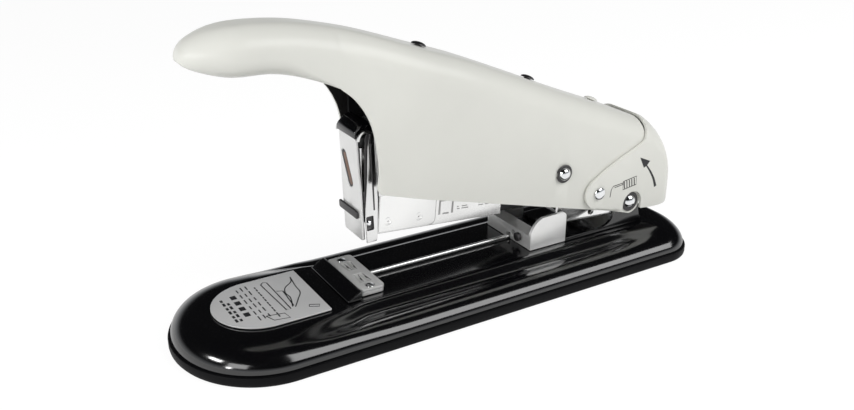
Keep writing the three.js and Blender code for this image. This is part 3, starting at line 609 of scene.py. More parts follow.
class Workshop:
    """Makes meshes in millimetres and turns them into pieces that ride on a body."""

    def __init__(self, materials: MaterialLibrary, nodes: dict[str, Object]) -> None:
        """Keeps the materials and the CAD nodes by name."""
        self.materials = materials
        self.nodes = nodes

    @staticmethod
    def from_bmesh(name: str, shape: BMesh) -> Object:
        """Turns a bmesh in millimetres into an object in metres.

        Args:
            name: Object name.
            shape: The bmesh, which is freed.

        Returns:
            The new object.
        """
        bmesh.ops.recalc_face_normals(shape, faces=shape.faces)
        bmesh.ops.scale(shape, vec=(MM, MM, MM), verts=shape.verts)
        mesh = bpy.data.meshes.new(name)
        shape.to_mesh(mesh)
        shape.free()
        return new_object(name, mesh)

    def loft(self, name: str, rings: Sequence[Ring], closed: bool = False) -> Object:
        """Skins rings with equal counts.

        Args:
            name: Object name.
            rings: Rings of points in millimetres.
            closed: True joins the last ring to the first in place of two end faces.

        Returns:
            The new object.
        """
        shape = bmesh.new()
        rows = [[shape.verts.new(point) for point in ring] for ring in rings]
        pairs = list(zip(rows, rows[1:]))
        if closed:
            pairs.append((rows[-1], rows[0]))
        for lower, upper in pairs:
            for i, start in enumerate(lower):
                j = (i + 1) % len(lower)
                shape.faces.new((start, lower[j], upper[j], upper[i]))
        if not closed:
            shape.faces.new(list(reversed(rows[0])))
            shape.faces.new(rows[-1])
        return self.from_bmesh(name, shape)

    def slab(self, name: str, outline: Sequence[Point], low: float, high: float,
             axis: Axis = Axis.Y) -> Object:
        """Extrudes an outline along an axis.

        Args:
            name: Object name.
            outline: Points across the axis, in X, Y, Z order.
            low: Start along the axis.
            high: End along the axis.
            axis: The axis.

        Returns:
            The new object.
        """
        at = axis.value
        rings = [[Vector((*spot[:at], w, *spot[at:])) for spot in outline] for w in (low, high)]
        return self.loft(name, rings)

    def cylinder(self, name: str, x: float, z: float, radius: float, reach: float = 30.0) -> Object:
        """A round bar along Y through (x, z)."""
        return self.slab(name, Outline.circle(x, z, radius, 48), -reach, reach)

    def box(self, name: str, x: Point, y: Point, z: Point) -> Object:
        """A block between pairs of x, y and z."""
        return self.slab(name, [(x[0], z[0]), (x[1], z[0]), (x[1], z[1]), (x[0], z[1])], *y)

    def turned(self, name: str, x: float, z: float, line: Sequence[Point], hollow: bool = False) -> Object:
        """Turns a profile of (y, radius) round an axis along Y through (x, z).

        Args:
            name: Object name.
            x: Place of the axis.
            z: Height of the axis.
            line: Profile from one end to the other.
            hollow: True closes the profile on itself, for a ring.

        Returns:
            The new object.
        """
        rings = [[Vector((u, y, v)) for u, v in Outline.circle(x, z, max(radius, 0.02), 48)]
                 for y, radius in line]
        return self.loft(name, rings, hollow)

    def pin(self, name: str, x: float, z: float, dome: Sequence[Point]) -> Object:
        """A turned pin along Y through (x, z), whose far head mirrors the near one."""
        return self.turned(name, x, z, [*dome, *flipped(-1, reversed(dome))])

    def stroke(self, name: str, line: Sequence[Point], width: float, low: float, high: float,
               axis: Axis = Axis.Y) -> Object:
        """A thin raised line along an open path in the plane across the axis."""
        left, right = Outline.band(line, width, width)
        return self.slab(name, [*left, *reversed(right)], low, high, axis)

    @staticmethod
    def combine(target: Object, how: Solid, *tools: Object) -> None:
        """Applies exact booleans one by one and removes the tools.

        Args:
            target: Object that keeps the result.
            how: How each tool is combined with it.
            tools: Objects that are used up.
        """
        for tool in tools:
            modifier = target.modifiers.new("cut", "BOOLEAN")
            modifier.operation = how.value
            modifier.solver = "EXACT"
            modifier.object = tool
            Workshop.bake(target)
            bpy.data.objects.remove(tool, do_unlink=True)

    @staticmethod
    def bake(target: Object) -> None:
        """Replaces an object's mesh by what its modifiers make of it.

        Args:
            target: The object.
        """
        graph = bpy.context.evaluated_depsgraph_get()
        mesh = bpy.data.meshes.new_from_object(target.evaluated_get(graph))
        target.modifiers.clear()
        target.data = mesh

    def piece(self, thing: Object, body: str, look: Look, replaces: Sequence[str] = (),
              round_edge: float = 0.0, angle: float = 32.0) -> None:
        """Finishes a piece: rounded edges, smooth faces, material, body.

        Args:
            thing: The piece.
            body: Body that it rides on.
            look: Its finish.
            replaces: CAD nodes that it stands for.
            round_edge: Edge rounding in millimetres.
            angle: Angle in degrees above which an edge counts as sharp.
        """
        if round_edge > 0:
            self._round(thing, round_edge, angle)
            self.bake(thing)
        self._paint(thing, look)
        thing.data.set_sharp_from_angle(angle=math.radians(angle))
        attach(thing, body)
        if replaces:
            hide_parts(*replaces)
        SLOTS.get(look, "satin_black")

    def _paint(self, thing: Object, look: Look) -> None:
        """Smooths the faces of a thing and gives it one material.

        Args:
            thing: The thing.
            look: Its finish.
        """
        thing.data.polygons.foreach_set("use_smooth", [True] * len(thing.data.polygons))
        thing.data.materials.clear()
        thing.data.materials.append(self.materials.get(look))

    @staticmethod
    def _round(thing: Object, width: float, angle: float, segments: int = 3) -> Modifier:
        """Adds a modifier that rounds the edges.

        Args:
            thing: The thing.
            width: Edge rounding in millimetres.
            angle: Angle in degrees above which an edge is rounded.
            segments: Faces across the rounding.

        Returns:
            The modifier.
        """
        bevel = thing.modifiers.new("round", "BEVEL")
        bevel.limit_method = "ANGLE"
        bevel.angle_limit = math.radians(angle)
        bevel.width = width * MM
        bevel.segments = segments
        return bevel

    def dress(self, look: Look, width: float, *names: str) -> None:
        """Gives CAD nodes rounded edges and a material.

        Args:
            look: Their finish.
            width: Edge rounding in millimetres.
            names: Names of the nodes.
        """
        for name in names:
            thing = self.nodes[name]
            thing.modifiers.new("weld", "WELD").merge_threshold = 1e-6
            flat = thing.modifiers.new("flat", "DECIMATE")
            flat.decimate_type = "DISSOLVE"
            flat.angle_limit = math.radians(0.5)
            self._round(thing, width, 30.0, 2).harden_normals = True
            self._paint(thing, look)


@dataclass
class SubAssembly:
    """A group of pieces that is built together.

    Args:
        shop: Workshop that makes its pieces.
    """

    shop: Workshop

    def build(self) -> None:
        """Makes the pieces."""
        raise NotImplementedError


@dataclass
class TiltedAssembly(SubAssembly):
    """A group on the magazine's body whose pieces are drawn in a tilted frame.

    Args:
        origin: X and Z of the frame's origin.
        tilt: Turn of the frame about Y, in radians.
    """

    origin: Point = (0.0, 0.0)
    tilt: float = 0.0

    def _place(self) -> Matrix:
        """Transform from the group's own frame to the row frame, in metres."""
        x, z = self.origin
        return Matrix.Translation(Vector((x * MM, 0.0, z * MM))) @ Matrix.Rotation(self.tilt, 4, "Y")

    def _mount(self, thing: Object, look: Look, replaces: Sequence[str] = (), edge: float = 0.0) -> None:
        """Moves a piece from the group's own frame into place and finishes it."""
        thing.data.transform(self._place())
        self.shop.piece(thing, "magazine", look, replaces, edge)


@dataclass
class Foot(SubAssembly):
    """Moulded foot, its pads and the pressed shell above it."""

    half_length: float = 102.95
    half_width: float = 32.5
    nose: float = 30.7
    corner: float = 16.0
    seam: float = 4.3
    wall: float = 1.1
    shoulder_rise: float = 4.9
    brow: float = 0.82
    trough_drop: float = 0.15
    trough_end: Point = (60.0, 84.0)
    slope_reach: float = 6.6
    deck_top: float = 11.7
    deck_ends: Point = (-92.5, 96.5)
    deck_halves: Point = (18.0, 15.5)
    deck_nose: float = 17.0
    deck_corner: float = 10.0
    waist: Point = (-52.0, -40.0)
    front_dome: Point = (-74.0, -44.0)
    rear_dome: Point = (70.0, 90.0)

    def build(self) -> None:
        """Makes foot and shell, and dresses the pads."""
        self._tray()
        self._shell()
        pads = [f"foot_pad_{end}_{side}" for end in ("front", "rear") for _, side in SIDES]
        self.shop.dress(Look.RUBBER, 0.3, *pads)

    def _ring(self, inset: float, z: float) -> Ring:
        """The foot's outline at a height.

        Args:
            inset: Distance that it is drawn in.
            z: Its height.

        Returns:
            The ring of points.
        """
        end = self.half_length - inset
        plan = Outline.plan(-end, end, self.half_width - inset, self.nose - inset, self.corner - inset)
        return [Vector((x, y, z)) for x, y in plan]

    def _tray(self) -> None:
        """Makes the moulded foot, hollow from above."""
        profile = [(1.3, 0.12), (0.5, 0.3), (0.12, 0.8), (0.0, 1.4), (0.0, 3.3), (0.15, 3.75), (0.6, 4.0),
                   (3.5, 4.0), (3.5, 2.4)]
        tray = self.shop.loft("foot_tray_fine", [self._ring(inset, z) for inset, z in profile])
        self.shop.piece(tray, "base", Look.FOOT_BLACK, ["foot_tray"])

    def _deck(self, outset: float, wall: float) -> list[Point]:
        """Outline of the raised deck, narrower behind its waist.

        Args:
            outset: Distance that it is drawn out.
            wall: Inset of its rear end.

        Returns:
            The outline.
        """
        wide, narrow = (half + outset for half in self.deck_halves)
        front, rear = self.deck_ends
        bent = []
        for x, y in Outline.plan(front - outset, rear + 0.2 * outset - wall, wide, self.deck_nose + outset,
                                 self.deck_corner + outset):
            share = smoothstep(x, *self.waist)
            bent.append((x, y * (1 - share + share * narrow / wide)))
        return bent

    def _skin(self, wall: float) -> list[Ring]:
        """Rings from the seam up: a wide shoulder and a shallow trough, which merge into domes at both ends.

        Args:
            wall: Inset from the outer skin.

        Returns:
            The rings, the lowest first.
        """
        foot = self._ring(1.0 + wall, self.seam)
        verge = self._deck(self.slope_reach - wall / 2, wall)
        deck = self._deck(-wall / 2, wall)
        seam, crest, top = self.seam, self.seam + self.shoulder_rise - wall, self.deck_top - wall
        shoulder_steps, slope_steps = 20, 16
        rings = [foot]
        for i in range(1, shoulder_steps + slope_steps + 1):
            share = min(1.0, i / shoulder_steps)
            turn = QUARTER * min(1.0, share / self.brow)
            reach = share if share > self.brow else self.brow * (1 - math.cos(turn))
            rise = max(0, i - shoulder_steps) / slope_steps
            slope = self._deck(self.slope_reach * (1 - rise) - wall / 2, wall)
            climb = QUARTER * i / (shoulder_steps + slope_steps)
            lean, dome_top = 1 - math.cos(climb), seam + (top - seam) * math.sin(climb)
            ring = []
            for start, (vx, vy), spot, (dx, dy) in zip(foot, verge, slope, deck):
                x, y = start.x + (vx - start.x) * reach, start.y + (vy - start.y) * reach
                drop = self.trough_drop * (1 - smoothstep(x, *self.trough_end))
                z = seam + (crest - seam) * math.sin(turn) - drop * smoothstep(share, self.brow, 1.0)
                if rise > 0:
                    x, y = spot
                    z += (top - z) * (0.5 - 0.5 * math.cos(math.pi * rise))
                dome = Vector((start.x + (dx - start.x) * lean, start.y + (dy - start.y) * lean, dome_top))
                ends = max(1 - smoothstep(dx, *self.front_dome), smoothstep(dx, *self.rear_dome))
                ring.append(Vector((x, y, z)).lerp(dome, ends))
            rings.append(ring)
        return rings

    def _shell(self) -> None:
        """Makes the pressed shell, open below."""
        rings = [*reversed(self._skin(self.wall)), *self._skin(0.0)]
        self.shop.piece(self.shop.loft("base_shell_fine", rings), "base", Look.GLOSS_BLACK, ["base_shell"])


@dataclass
class DeckFittings(SubAssembly):
    """Plate, anvil, rod, bracket and stop."""

    stand: float = 12.0
    plate_top: float = 12.5
    plate_ends: Point = (-88.4, -52.9)
    plate_half: float = 16.2
    plate_corner: float = 0.6
    mark_depth: float = 0.03
    anvil_top: float = 14.6
    anvil_mid: float = -36.1
    anvil_ends: Point = (-40.7, -31.5)
    pin: Point = (77.5, 22.4)
    sheet: Point = (12.9, 14.1)
    stop_ends: Point = (30.3, 47.0)

    def build(self) -> None:
        """Makes plate, anvil, stop, pin, rod and bracket, and dresses the rest."""
        self._plate()
        self._plate_marks()
        self._anvil()
        self._stop()
        self._pin()
        self._rod()
        self._bracket()
        self.shop.dress(Look.DARK_STEEL, 0.12, "stop_screw")
        self.shop.dress(Look.CHROME, 0.25, "anvil_rivet_near", "anvil_rivet_far")
        self.shop.dress(Look.BRIGHT_STEEL, 0.1, "bracket_rivet_1", "bracket_rivet_2")

    def _bracket(self) -> None:
        """Makes the bracket, with a low front and two round ears that hold the hinge pin."""
        shop, (x, z), (inner, outer) = self.shop, self.pin, self.sheet
        outline = [(47.4, self.stand), (86.0, self.stand), (86.0, 13.2), (84.6, 14.6), (82.9, 22.4)]
        outline += Outline.arc(x, z, 5.4, 0.0, math.pi, 20)
        outline += Outline.smooth([(72.0, 21.0), (71.2, 17.6), (69.2, 14.8), (66.0, 13.4), (62.0, 13.2)], 5)
        bracket = shop.slab("hinge_bracket_fine", [*outline, (47.4, 13.2)], -outer, outer)
        shop.combine(bracket, Solid.CUT, shop.box("room", (47.0, 87.0), (-inner, inner), (13.2, 40.0)),
                     shop.cylinder("bore", x, z, 2.7))
        shop.piece(bracket, "base", Look.GLOSS_BLACK, ["hinge_bracket"], 0.3)

    def _rod(self) -> None:
        """Makes the rod that guides the stop."""
        circle = Outline.circle(-0.25, 12.75, 0.72, 32)
        rod = self.shop.slab("guide_rod_fine", circle, -31.2, 46.9, Axis.X)
        self.shop.piece(rod, "base", Look.ROD, ["guide_rod"], 0.12)

    def _plate(self) -> None:
        """Makes the information plate, round at its front."""
        (front, rear), half, corner = self.plate_ends, self.plate_half, self.plate_corner
        outline = Outline.arc(front + half, 0.0, half, QUARTER, 3 * QUARTER, 64)
        outline += Outline.arc(rear - corner, corner - half, corner, -QUARTER, 0.0, 6)
        outline += Outline.arc(rear - corner, half - corner, corner, 0.0, QUARTER, 6)
        plate = self.shop.slab("info_plate_fine", outline, self.stand, self.plate_top, Axis.Z)
        self.shop.piece(plate, "base", Look.PLATE, ["info_plate"], 0.12)

    def _plate_marks(self) -> None:
        """Makes plain bars, boxes and a bare outline sketch, in the places of the printed panel."""
        shop, depth = self.shop, (self.plate_top, self.plate_top + self.mark_depth)
        bars: list[tuple[float, float, float, float]] = []
        for column, x in enumerate((-83.4, -81.9)):
            bars += [(x, -8.4 + 3.0 * i, 0.9, 2.1 - 0.5 * ((i + column) % 2)) for i in range(6 - column)]
        bars += [(-79.6, -5.2 + 4.3 * i - 1.3, 2.0, 2.6) for i in range(4)]
        for row in range(3):
            x = -76.2 + 1.8 * row
            bars += [(x, -11.0 + 4.2 * i + 0.4 * row, 0.45, 2.9 - 0.35 * ((i + row) % 3)) for i in range(6)]
        bars += [(-70.0, -12.0 + 2.0 * i, 0.5, 1.5 - 0.3 * (i % 2)) for i in range(12)]
        for i, (x, y, wide, long) in enumerate(bars, 1):
            box = [(x, y), (x + wide, y), (x + wide, y + long), (x, y + long)]
            shop.piece(shop.slab(f"plate_mark_{i}", box, *depth, Axis.Z), "base", Look.INK)
        lever = [(-56.0, 12.0), (-57.2, 8.5), (-60.5, 5.6), (-62.0, 2.0), (-61.8, -2.0), (-63.6, -8.0)]
        belly = [(-56.0, 12.0), (-57.0, 5.0), (-57.4, 0.0), (-59.8, -4.0), (-62.8, -8.6)]
        body = [(-67.2, 11.6), (-66.0, 13.0), (-64.8, 12.2), (-64.6, -9.0), (-66.2, -9.0), (-67.2, 11.6)]
        arm = [(-64.2, 4.6), (-62.2, 3.8), (-63.0, -7.6)]
        clip = [(-58.2, -9.6), (-55.2, -11.2), (-55.8, -12.4), (-58.8, -10.8), (-58.2, -9.6)]
        frame = [(-73.6, -9.4), (-67.6, -10.6), (-67.0, -14.2), (-72.2, -13.2), (-73.6, -9.4)]
        lines = (Outline.smooth(lever), Outline.smooth(belly), body, arm, clip, frame)
        for i, line in enumerate(lines, 1):
            shop.piece(shop.stroke(f"plate_sketch_{i}", line, 0.4, *depth, Axis.Z), "base", Look.INK)

    def _anvil(self) -> None:
        """Makes the anvil plate with its grooves, its bed and the ramp before it."""
        shop, top, (front, rear) = self.shop, self.anvil_top, self.anvil_ends
        outline = Outline.block((front, -13.5), (rear, 13.5), 1.2, 6)
        plate = shop.slab("anvil_plate_fine", outline, top - 1.0, top, Axis.Z)
        for side, _ in SIDES:
            circle = Outline.circle(self.anvil_mid, side * 11.0, 1.8, 32)
            shop.combine(plate, Solid.CUT, self._pocket(side, -1.15), self._pocket(side, 1.15),
                         shop.slab("hole", circle, 12.0, 16.0, Axis.Z))
        shop.piece(plate, "base", Look.ANVIL, ["anvil_plate"], 0.14)
        self._shade_pockets(plate)
        outline = Outline.block((front, -13.2), (rear, 13.2), 1.2, 6)
        bed = shop.slab("anvil_bed_fine", outline, self.stand, 13.3, Axis.Z)
        shop.piece(bed, "base", Look.ANVIL, ["anvil_bed"], 0.14)
        ramp = [(-46.4, self.stand), (-41.1, self.stand), (-41.1, 15.1), (-41.9, 15.1), (-46.4, 12.5)]
        slope = shop.slab("anvil_ramp_fine", ramp, -15.0, 15.0)
        shop.piece(slope, "base", Look.GLOSS_BLACK, ["anvil_ramp"], 0.25)

    def _shade_pockets(self, plate: Object) -> None:
        """Paints shade into the grooves: their floors take a darker grey metal and their upward sides a
        near-black steel.

        Args:
            plate: The anvil plate.
        """
        # painted shade: darker metals for the floors and sides of the grooves
        for look in (Look.ETCHED_AND_SHADE, Look.DARK_STEEL):
            plate.data.materials.append(self.shop.materials.get(look))
        for face in plate.data.polygons:
            x, y, z = face.center / MM
            inside = 1.0 < abs(y) < 9.0 and abs(x - self.anvil_mid) < 3.2
            if inside and z < self.anvil_top - 0.12 and face.normal.z > 0:
                face.material_index = 1 if face.normal.z > 0.8 else 2

    def _pocket(self, side: int, shift: float) -> Object:
        """A clinching groove: round in section, splayed outwards and deepest in the middle.

        Args:
            side: -1 for the near side, 1 for the far side.
            shift: Its distance from the anvil's middle.

        Returns:
            The solid that is cut away.
        """
        top, half, steps = self.anvil_top + 0.02, 0.95, 12
        arc = Outline.arc(0.0, 0.0, 1.0, math.pi, TURN, 10)
        rings = []
        for share in (i / steps for i in range(steps + 1)):
            y = side * (1.4 + 7.0 * share)
            mid = self.anvil_mid + shift * (0.75 + 0.5 * share)
            deep = 0.75 * math.sin(math.pi * (0.1 + 0.8 * share))
            ring = [Vector((mid + half * u, y, top + deep * v)) for u, v in arc]
            rings.append([*ring, Vector((mid + half, y, top + 1.0)), Vector((mid - half, y, top + 1.0))])
        return self.shop.loft("pocket", rings)

    def _stop(self) -> None:
        """Makes the bent sheet stop: a front plate, a shelf and two wings with rounded corners."""
        shop, stand, (inner, outer) = self.shop, self.stand, self.sheet
        front, rear = self.stop_ends
        wing = [(front, stand), (rear, stand), (rear, 22.4)]
        wing += Outline.arc(rear - 2.0, 22.4, 2.0, 0.0, QUARTER, 8)
        wing += [(front + 5.4, 24.2), (front + 3.6, 23.4), (front + 1.8, 21.8), (front + 0.6, 19.9),
                 (front, 18.4)]
        stop = shop.slab("depth_stop_fine", wing, -outer, -inner)
        shop.combine(stop, Solid.JOIN, shop.slab("wing", wing, inner, outer),
                     shop.box("face", (front, front + 1.2), (-13.5, 13.5), (stand, 17.6)),
                     shop.box("shelf", (front + 0.6, front + 6.0), (-13.5, 13.5), (16.4, 17.6)))
        holes = [shop.slab("hole", Outline.circle(y, 15.2, radius, 24), front - 1, front + 2.2, Axis.X)
                 for y, radius in ((-7.0, 1.15), (-3.0, 1.2))]
        room = shop.box("rod_room", (front - 1, rear + 1), (-1.3, 1.3), (11.0, 14.3))
        shop.combine(stop, Solid.CUT, *holes, room)
        shop.piece(stop, "paper_stop", Look.LEAF, ["depth_stop"], 0.25)

    def _pin(self) -> None:
        """Makes the hinge pin with low domes, over dark washers that fill the cap's notch."""
        dome = [(-17.2, 0.0), (-17.12, 0.7), (-16.86, 1.5), (-16.45, 2.2), (-15.95, 2.6), (-15.9, 2.5)]
        pin = self.shop.pin("hinge_pin_fine", *self.pin, dome)
        self.shop.piece(pin, "base", Look.CHROME, ["hinge_pin"])
        ring = [(15.63, 2.4), (15.63, 3.9), (15.7, 4.0), (15.82, 4.0), (15.9, 3.9), (15.9, 2.4)]
        for side, label in SIDES:
            washer = self.shop.turned(f"pin_washer_{label}", *self.pin, flipped(side, ring), True)
            self.shop.piece(washer, "base", Look.DARK_STEEL)


@dataclass
class Magazine(TiltedAssembly):
    """Channel, core, staples, pusher and carrier, in the magazine's own frame."""

    origin: Point = (77.5, 22.4)
    tilt: float = 0.0793
    half: float = 7.4
    sheet: float = 0.8
    height: float = 15.5
    ends: Point = (-108.6, -57.0)
    spot_height: float = 4.3
    staple_count: int = 54
    staple_pitch: float = 0.7
    first_staple: float = -107.4

    def build(self) -> None:
        """Makes channel, staples and marks, and dresses the rest."""
        self._channel()
        self.shop.dress(Look.CHANNEL_STEEL, 0.2, "magazine_carrier")
        self.shop.dress(Look.SATIN_BLACK, 0.15, "magazine_core")
        self.shop.dress(Look.DARK_STEEL, 0.2, "staple_pusher")
        self._staples()
        self._marks()

    def _staples(self) -> None:
        """Makes a strip of wires that Geometry Nodes repeats along the core."""
        wire = self._one_staple()
        group = self._row_group()
        strip = new_object("staple_strip_fine", bpy.data.meshes.new("staple_strip_fine"))
        modifier = strip.modifiers.new("rows", "NODES")
        modifier.node_group = group
        values = {"Staple": wire, "Count": self.staple_count, "Pitch": self.staple_pitch * MM,
                  "Finish": self.shop.materials.get(Look.STAPLE)}
        for item in group.interface.items_tree:
            if item.name in values and item.in_out == "INPUT":
                modifier[item.identifier] = values[item.name]
        self.shop.bake(strip)
        bpy.data.objects.remove(wire, do_unlink=True)
        shift = Matrix.Translation(Vector((self.first_staple * MM, 0.0, 0.0)))
        strip.data.transform(self._place() @ shift)
        self.shop.piece(strip, "magazine", Look.STAPLE, ["staple_strip"], 0.0, 45.0)

    @staticmethod
    def _row_group() -> NodeTree:
        """Makes the node group that repeats an object in a row.

        Returns:
            The group, with the object, count, pitch and finish as its inputs.
        """
        group = bpy.data.node_groups.new("staple_rows", "GeometryNodeTree")
        for label, kind in (("Staple", "NodeSocketObject"), ("Count", "NodeSocketInt"),
                            ("Pitch", "NodeSocketFloat"), ("Finish", "NodeSocketMaterial")):
            group.interface.new_socket(label, in_out="INPUT", socket_type=kind)
        group.interface.new_socket("Geometry", in_out="OUTPUT", socket_type="NodeSocketGeometry")
        graph = NodeGraph(group)
        start, line, offset, source, repeat, real, paint, end = (graph.add(kind) for kind in (
            "NodeGroupInput", "GeometryNodeMeshLine", "ShaderNodeCombineXYZ", "GeometryNodeObjectInfo",
            "GeometryNodeInstanceOnPoints", "GeometryNodeRealizeInstances", "GeometryNodeSetMaterial",
            "NodeGroupOutput"))
        for giver, output, taker, entry in (
                (start, "Count", line, "Count"), (start, "Pitch", offset, "X"),
                (offset, "Vector", line, "Offset"), (start, "Staple", source, "Object"),
                (line, "Mesh", repeat, "Points"), (source, "Geometry", repeat, "Instance"),
                (repeat, "Instances", real, "Geometry"), (real, "Geometry", paint, "Geometry"),
                (start, "Finish", paint, "Material"), (paint, "Geometry", end, "Geometry")):
            graph.link(giver.outputs[output], taker.inputs[entry])
        return group

    def _one_staple(self) -> Object:
        """Makes one wire with rounded shoulders, astride the core.

        Returns:
            The wire, at the origin of the magazine's frame.
        """
        inner, outer, foot, crown, bend, half = 5.2, 6.0, 2.0, 12.3, 1.2, 0.31
        side, high, tight = outer - bend, crown - bend, bend - (outer - inner)
        path = [(-outer, foot), *Outline.arc(-side, high, bend, math.pi, QUARTER, 5),
                *Outline.arc(side, high, bend, QUARTER, 0.0, 5), (outer, foot)]
        back = [(inner, foot), *Outline.arc(side, high, tight, 0.0, QUARTER, 5),
                *Outline.arc(-side, high, tight, QUARTER, math.pi, 5), (-inner, foot)]
        shape = bmesh.new()
        fronts, rears = ([shape.verts.new((x, y, z)) for y, z in path + back] for x in (-half, half))
        total = len(fronts)
        for i in range(len(path) - 1):
            quad = (i, i + 1, total - 2 - i, total - 1 - i)
            shape.faces.new([fronts[k] for k in quad])
            shape.faces.new([rears[k] for k in reversed(quad)])
        for i in range(total):
            j = (i + 1) % total
            shape.faces.new((fronts[j], fronts[i], rears[i], rears[j]))
        return self.shop.from_bmesh("staple", shape)

    def _channel(self) -> None:
        """Makes the folded channel with a cover plate and pressed spots on each cheek."""
        shop, sheet, top, out = self.shop, self.sheet, self.height, self.half
        within = out - sheet
        outline = [(-out, top), (-out, 0.0), (out, 0.0), (out, top), (within, top), (within, sheet),
                   (-within, sheet), (-within, top)]
        channel = shop.slab("channel_fine", outline, *self.ends, Axis.X)
        self._mount(channel, Look.CHANNEL_STEEL, ["magazine_channel"], 0.22)
        bend, rim = (Outline.arc(-87.8, 2.5, radius, -QUARTER, 0.0, 8) for radius in (2.0, 2.22))
        cover = [(-108.4, 0.5), *bend, (-85.8, 15.3), (-108.4, 15.3)]
        verge = [*rim, (-85.58, 15.3), (-85.8, 15.3), *reversed(bend)]
        ring = [(7.6, 0.85), (7.72, 0.95), (7.74, 1.25), (7.66, 1.45), (7.6, 1.45)]
        core = [(7.6, 0.35), (7.68, 0.3), (7.7, 0.0)]
        for side, label in SIDES:
            plate = shop.slab(f"channel_cover_{label}", cover, *on_side(side, 7.36, 7.66))
            self._mount(plate, Look.CHANNEL_STEEL, (), 0.1)
            line = shop.slab(f"cover_verge_{label}", verge, *on_side(side, 7.38, 7.46))
            self._mount(line, Look.DARK_STEEL)
            for i, x in enumerate((-104.9, -92.6), 1):
                place = (x, self.spot_height)
                spot = shop.turned(f"channel_spot_{label}_{i}", *place, flipped(side, ring), True)
                self._mount(spot, Look.CHANNEL_STEEL)
                nub = shop.turned(f"channel_nub_{label}_{i}", *place, flipped(side, core))
                self._mount(nub, Look.ETCHED_AND_SHADE)

    def _marks(self) -> None:
        """Makes an etched staple outline and plain bars on the near cheek."""
        shop, depth = self.shop, (-self.half - 0.03, -self.half + 0.02)
        icon = [(-84.0, 3.6), (-84.0, 8.8), (-78.6, 8.8), (-78.6, 3.6)]
        for name, line, wide in (("icon", icon, 0.9), ("base", [(-82.6, 3.8), (-80.0, 3.8)], 0.6)):
            self._mount(shop.stroke(f"magazine_{name}", line, wide, *depth), Look.ETCHED_AND_SHADE)
        spots = [(-76.6, 8.3, 2.7), (-72.9, 8.3, 1.0), (-67.4, 8.4, 3.2), (-63.2, 8.4, 1.2)]
        spots += [(-76.6, 4.6, 1.2), (-74.6, 4.6, 2.9), (-67.4, 4.8, 2.2), (-64.4, 4.8, 1.7)]
        for i, (x, z, long) in enumerate(spots):
            for row in range(2):
                foot = z + 0.85 * row
                bar = shop.box(f"magazine_mark_{2 * i + row + 1}", (x, x + long - 0.5 * row), depth,
                               (foot, foot + 0.35))
                self._mount(bar, Look.ETCHED_AND_SHADE)


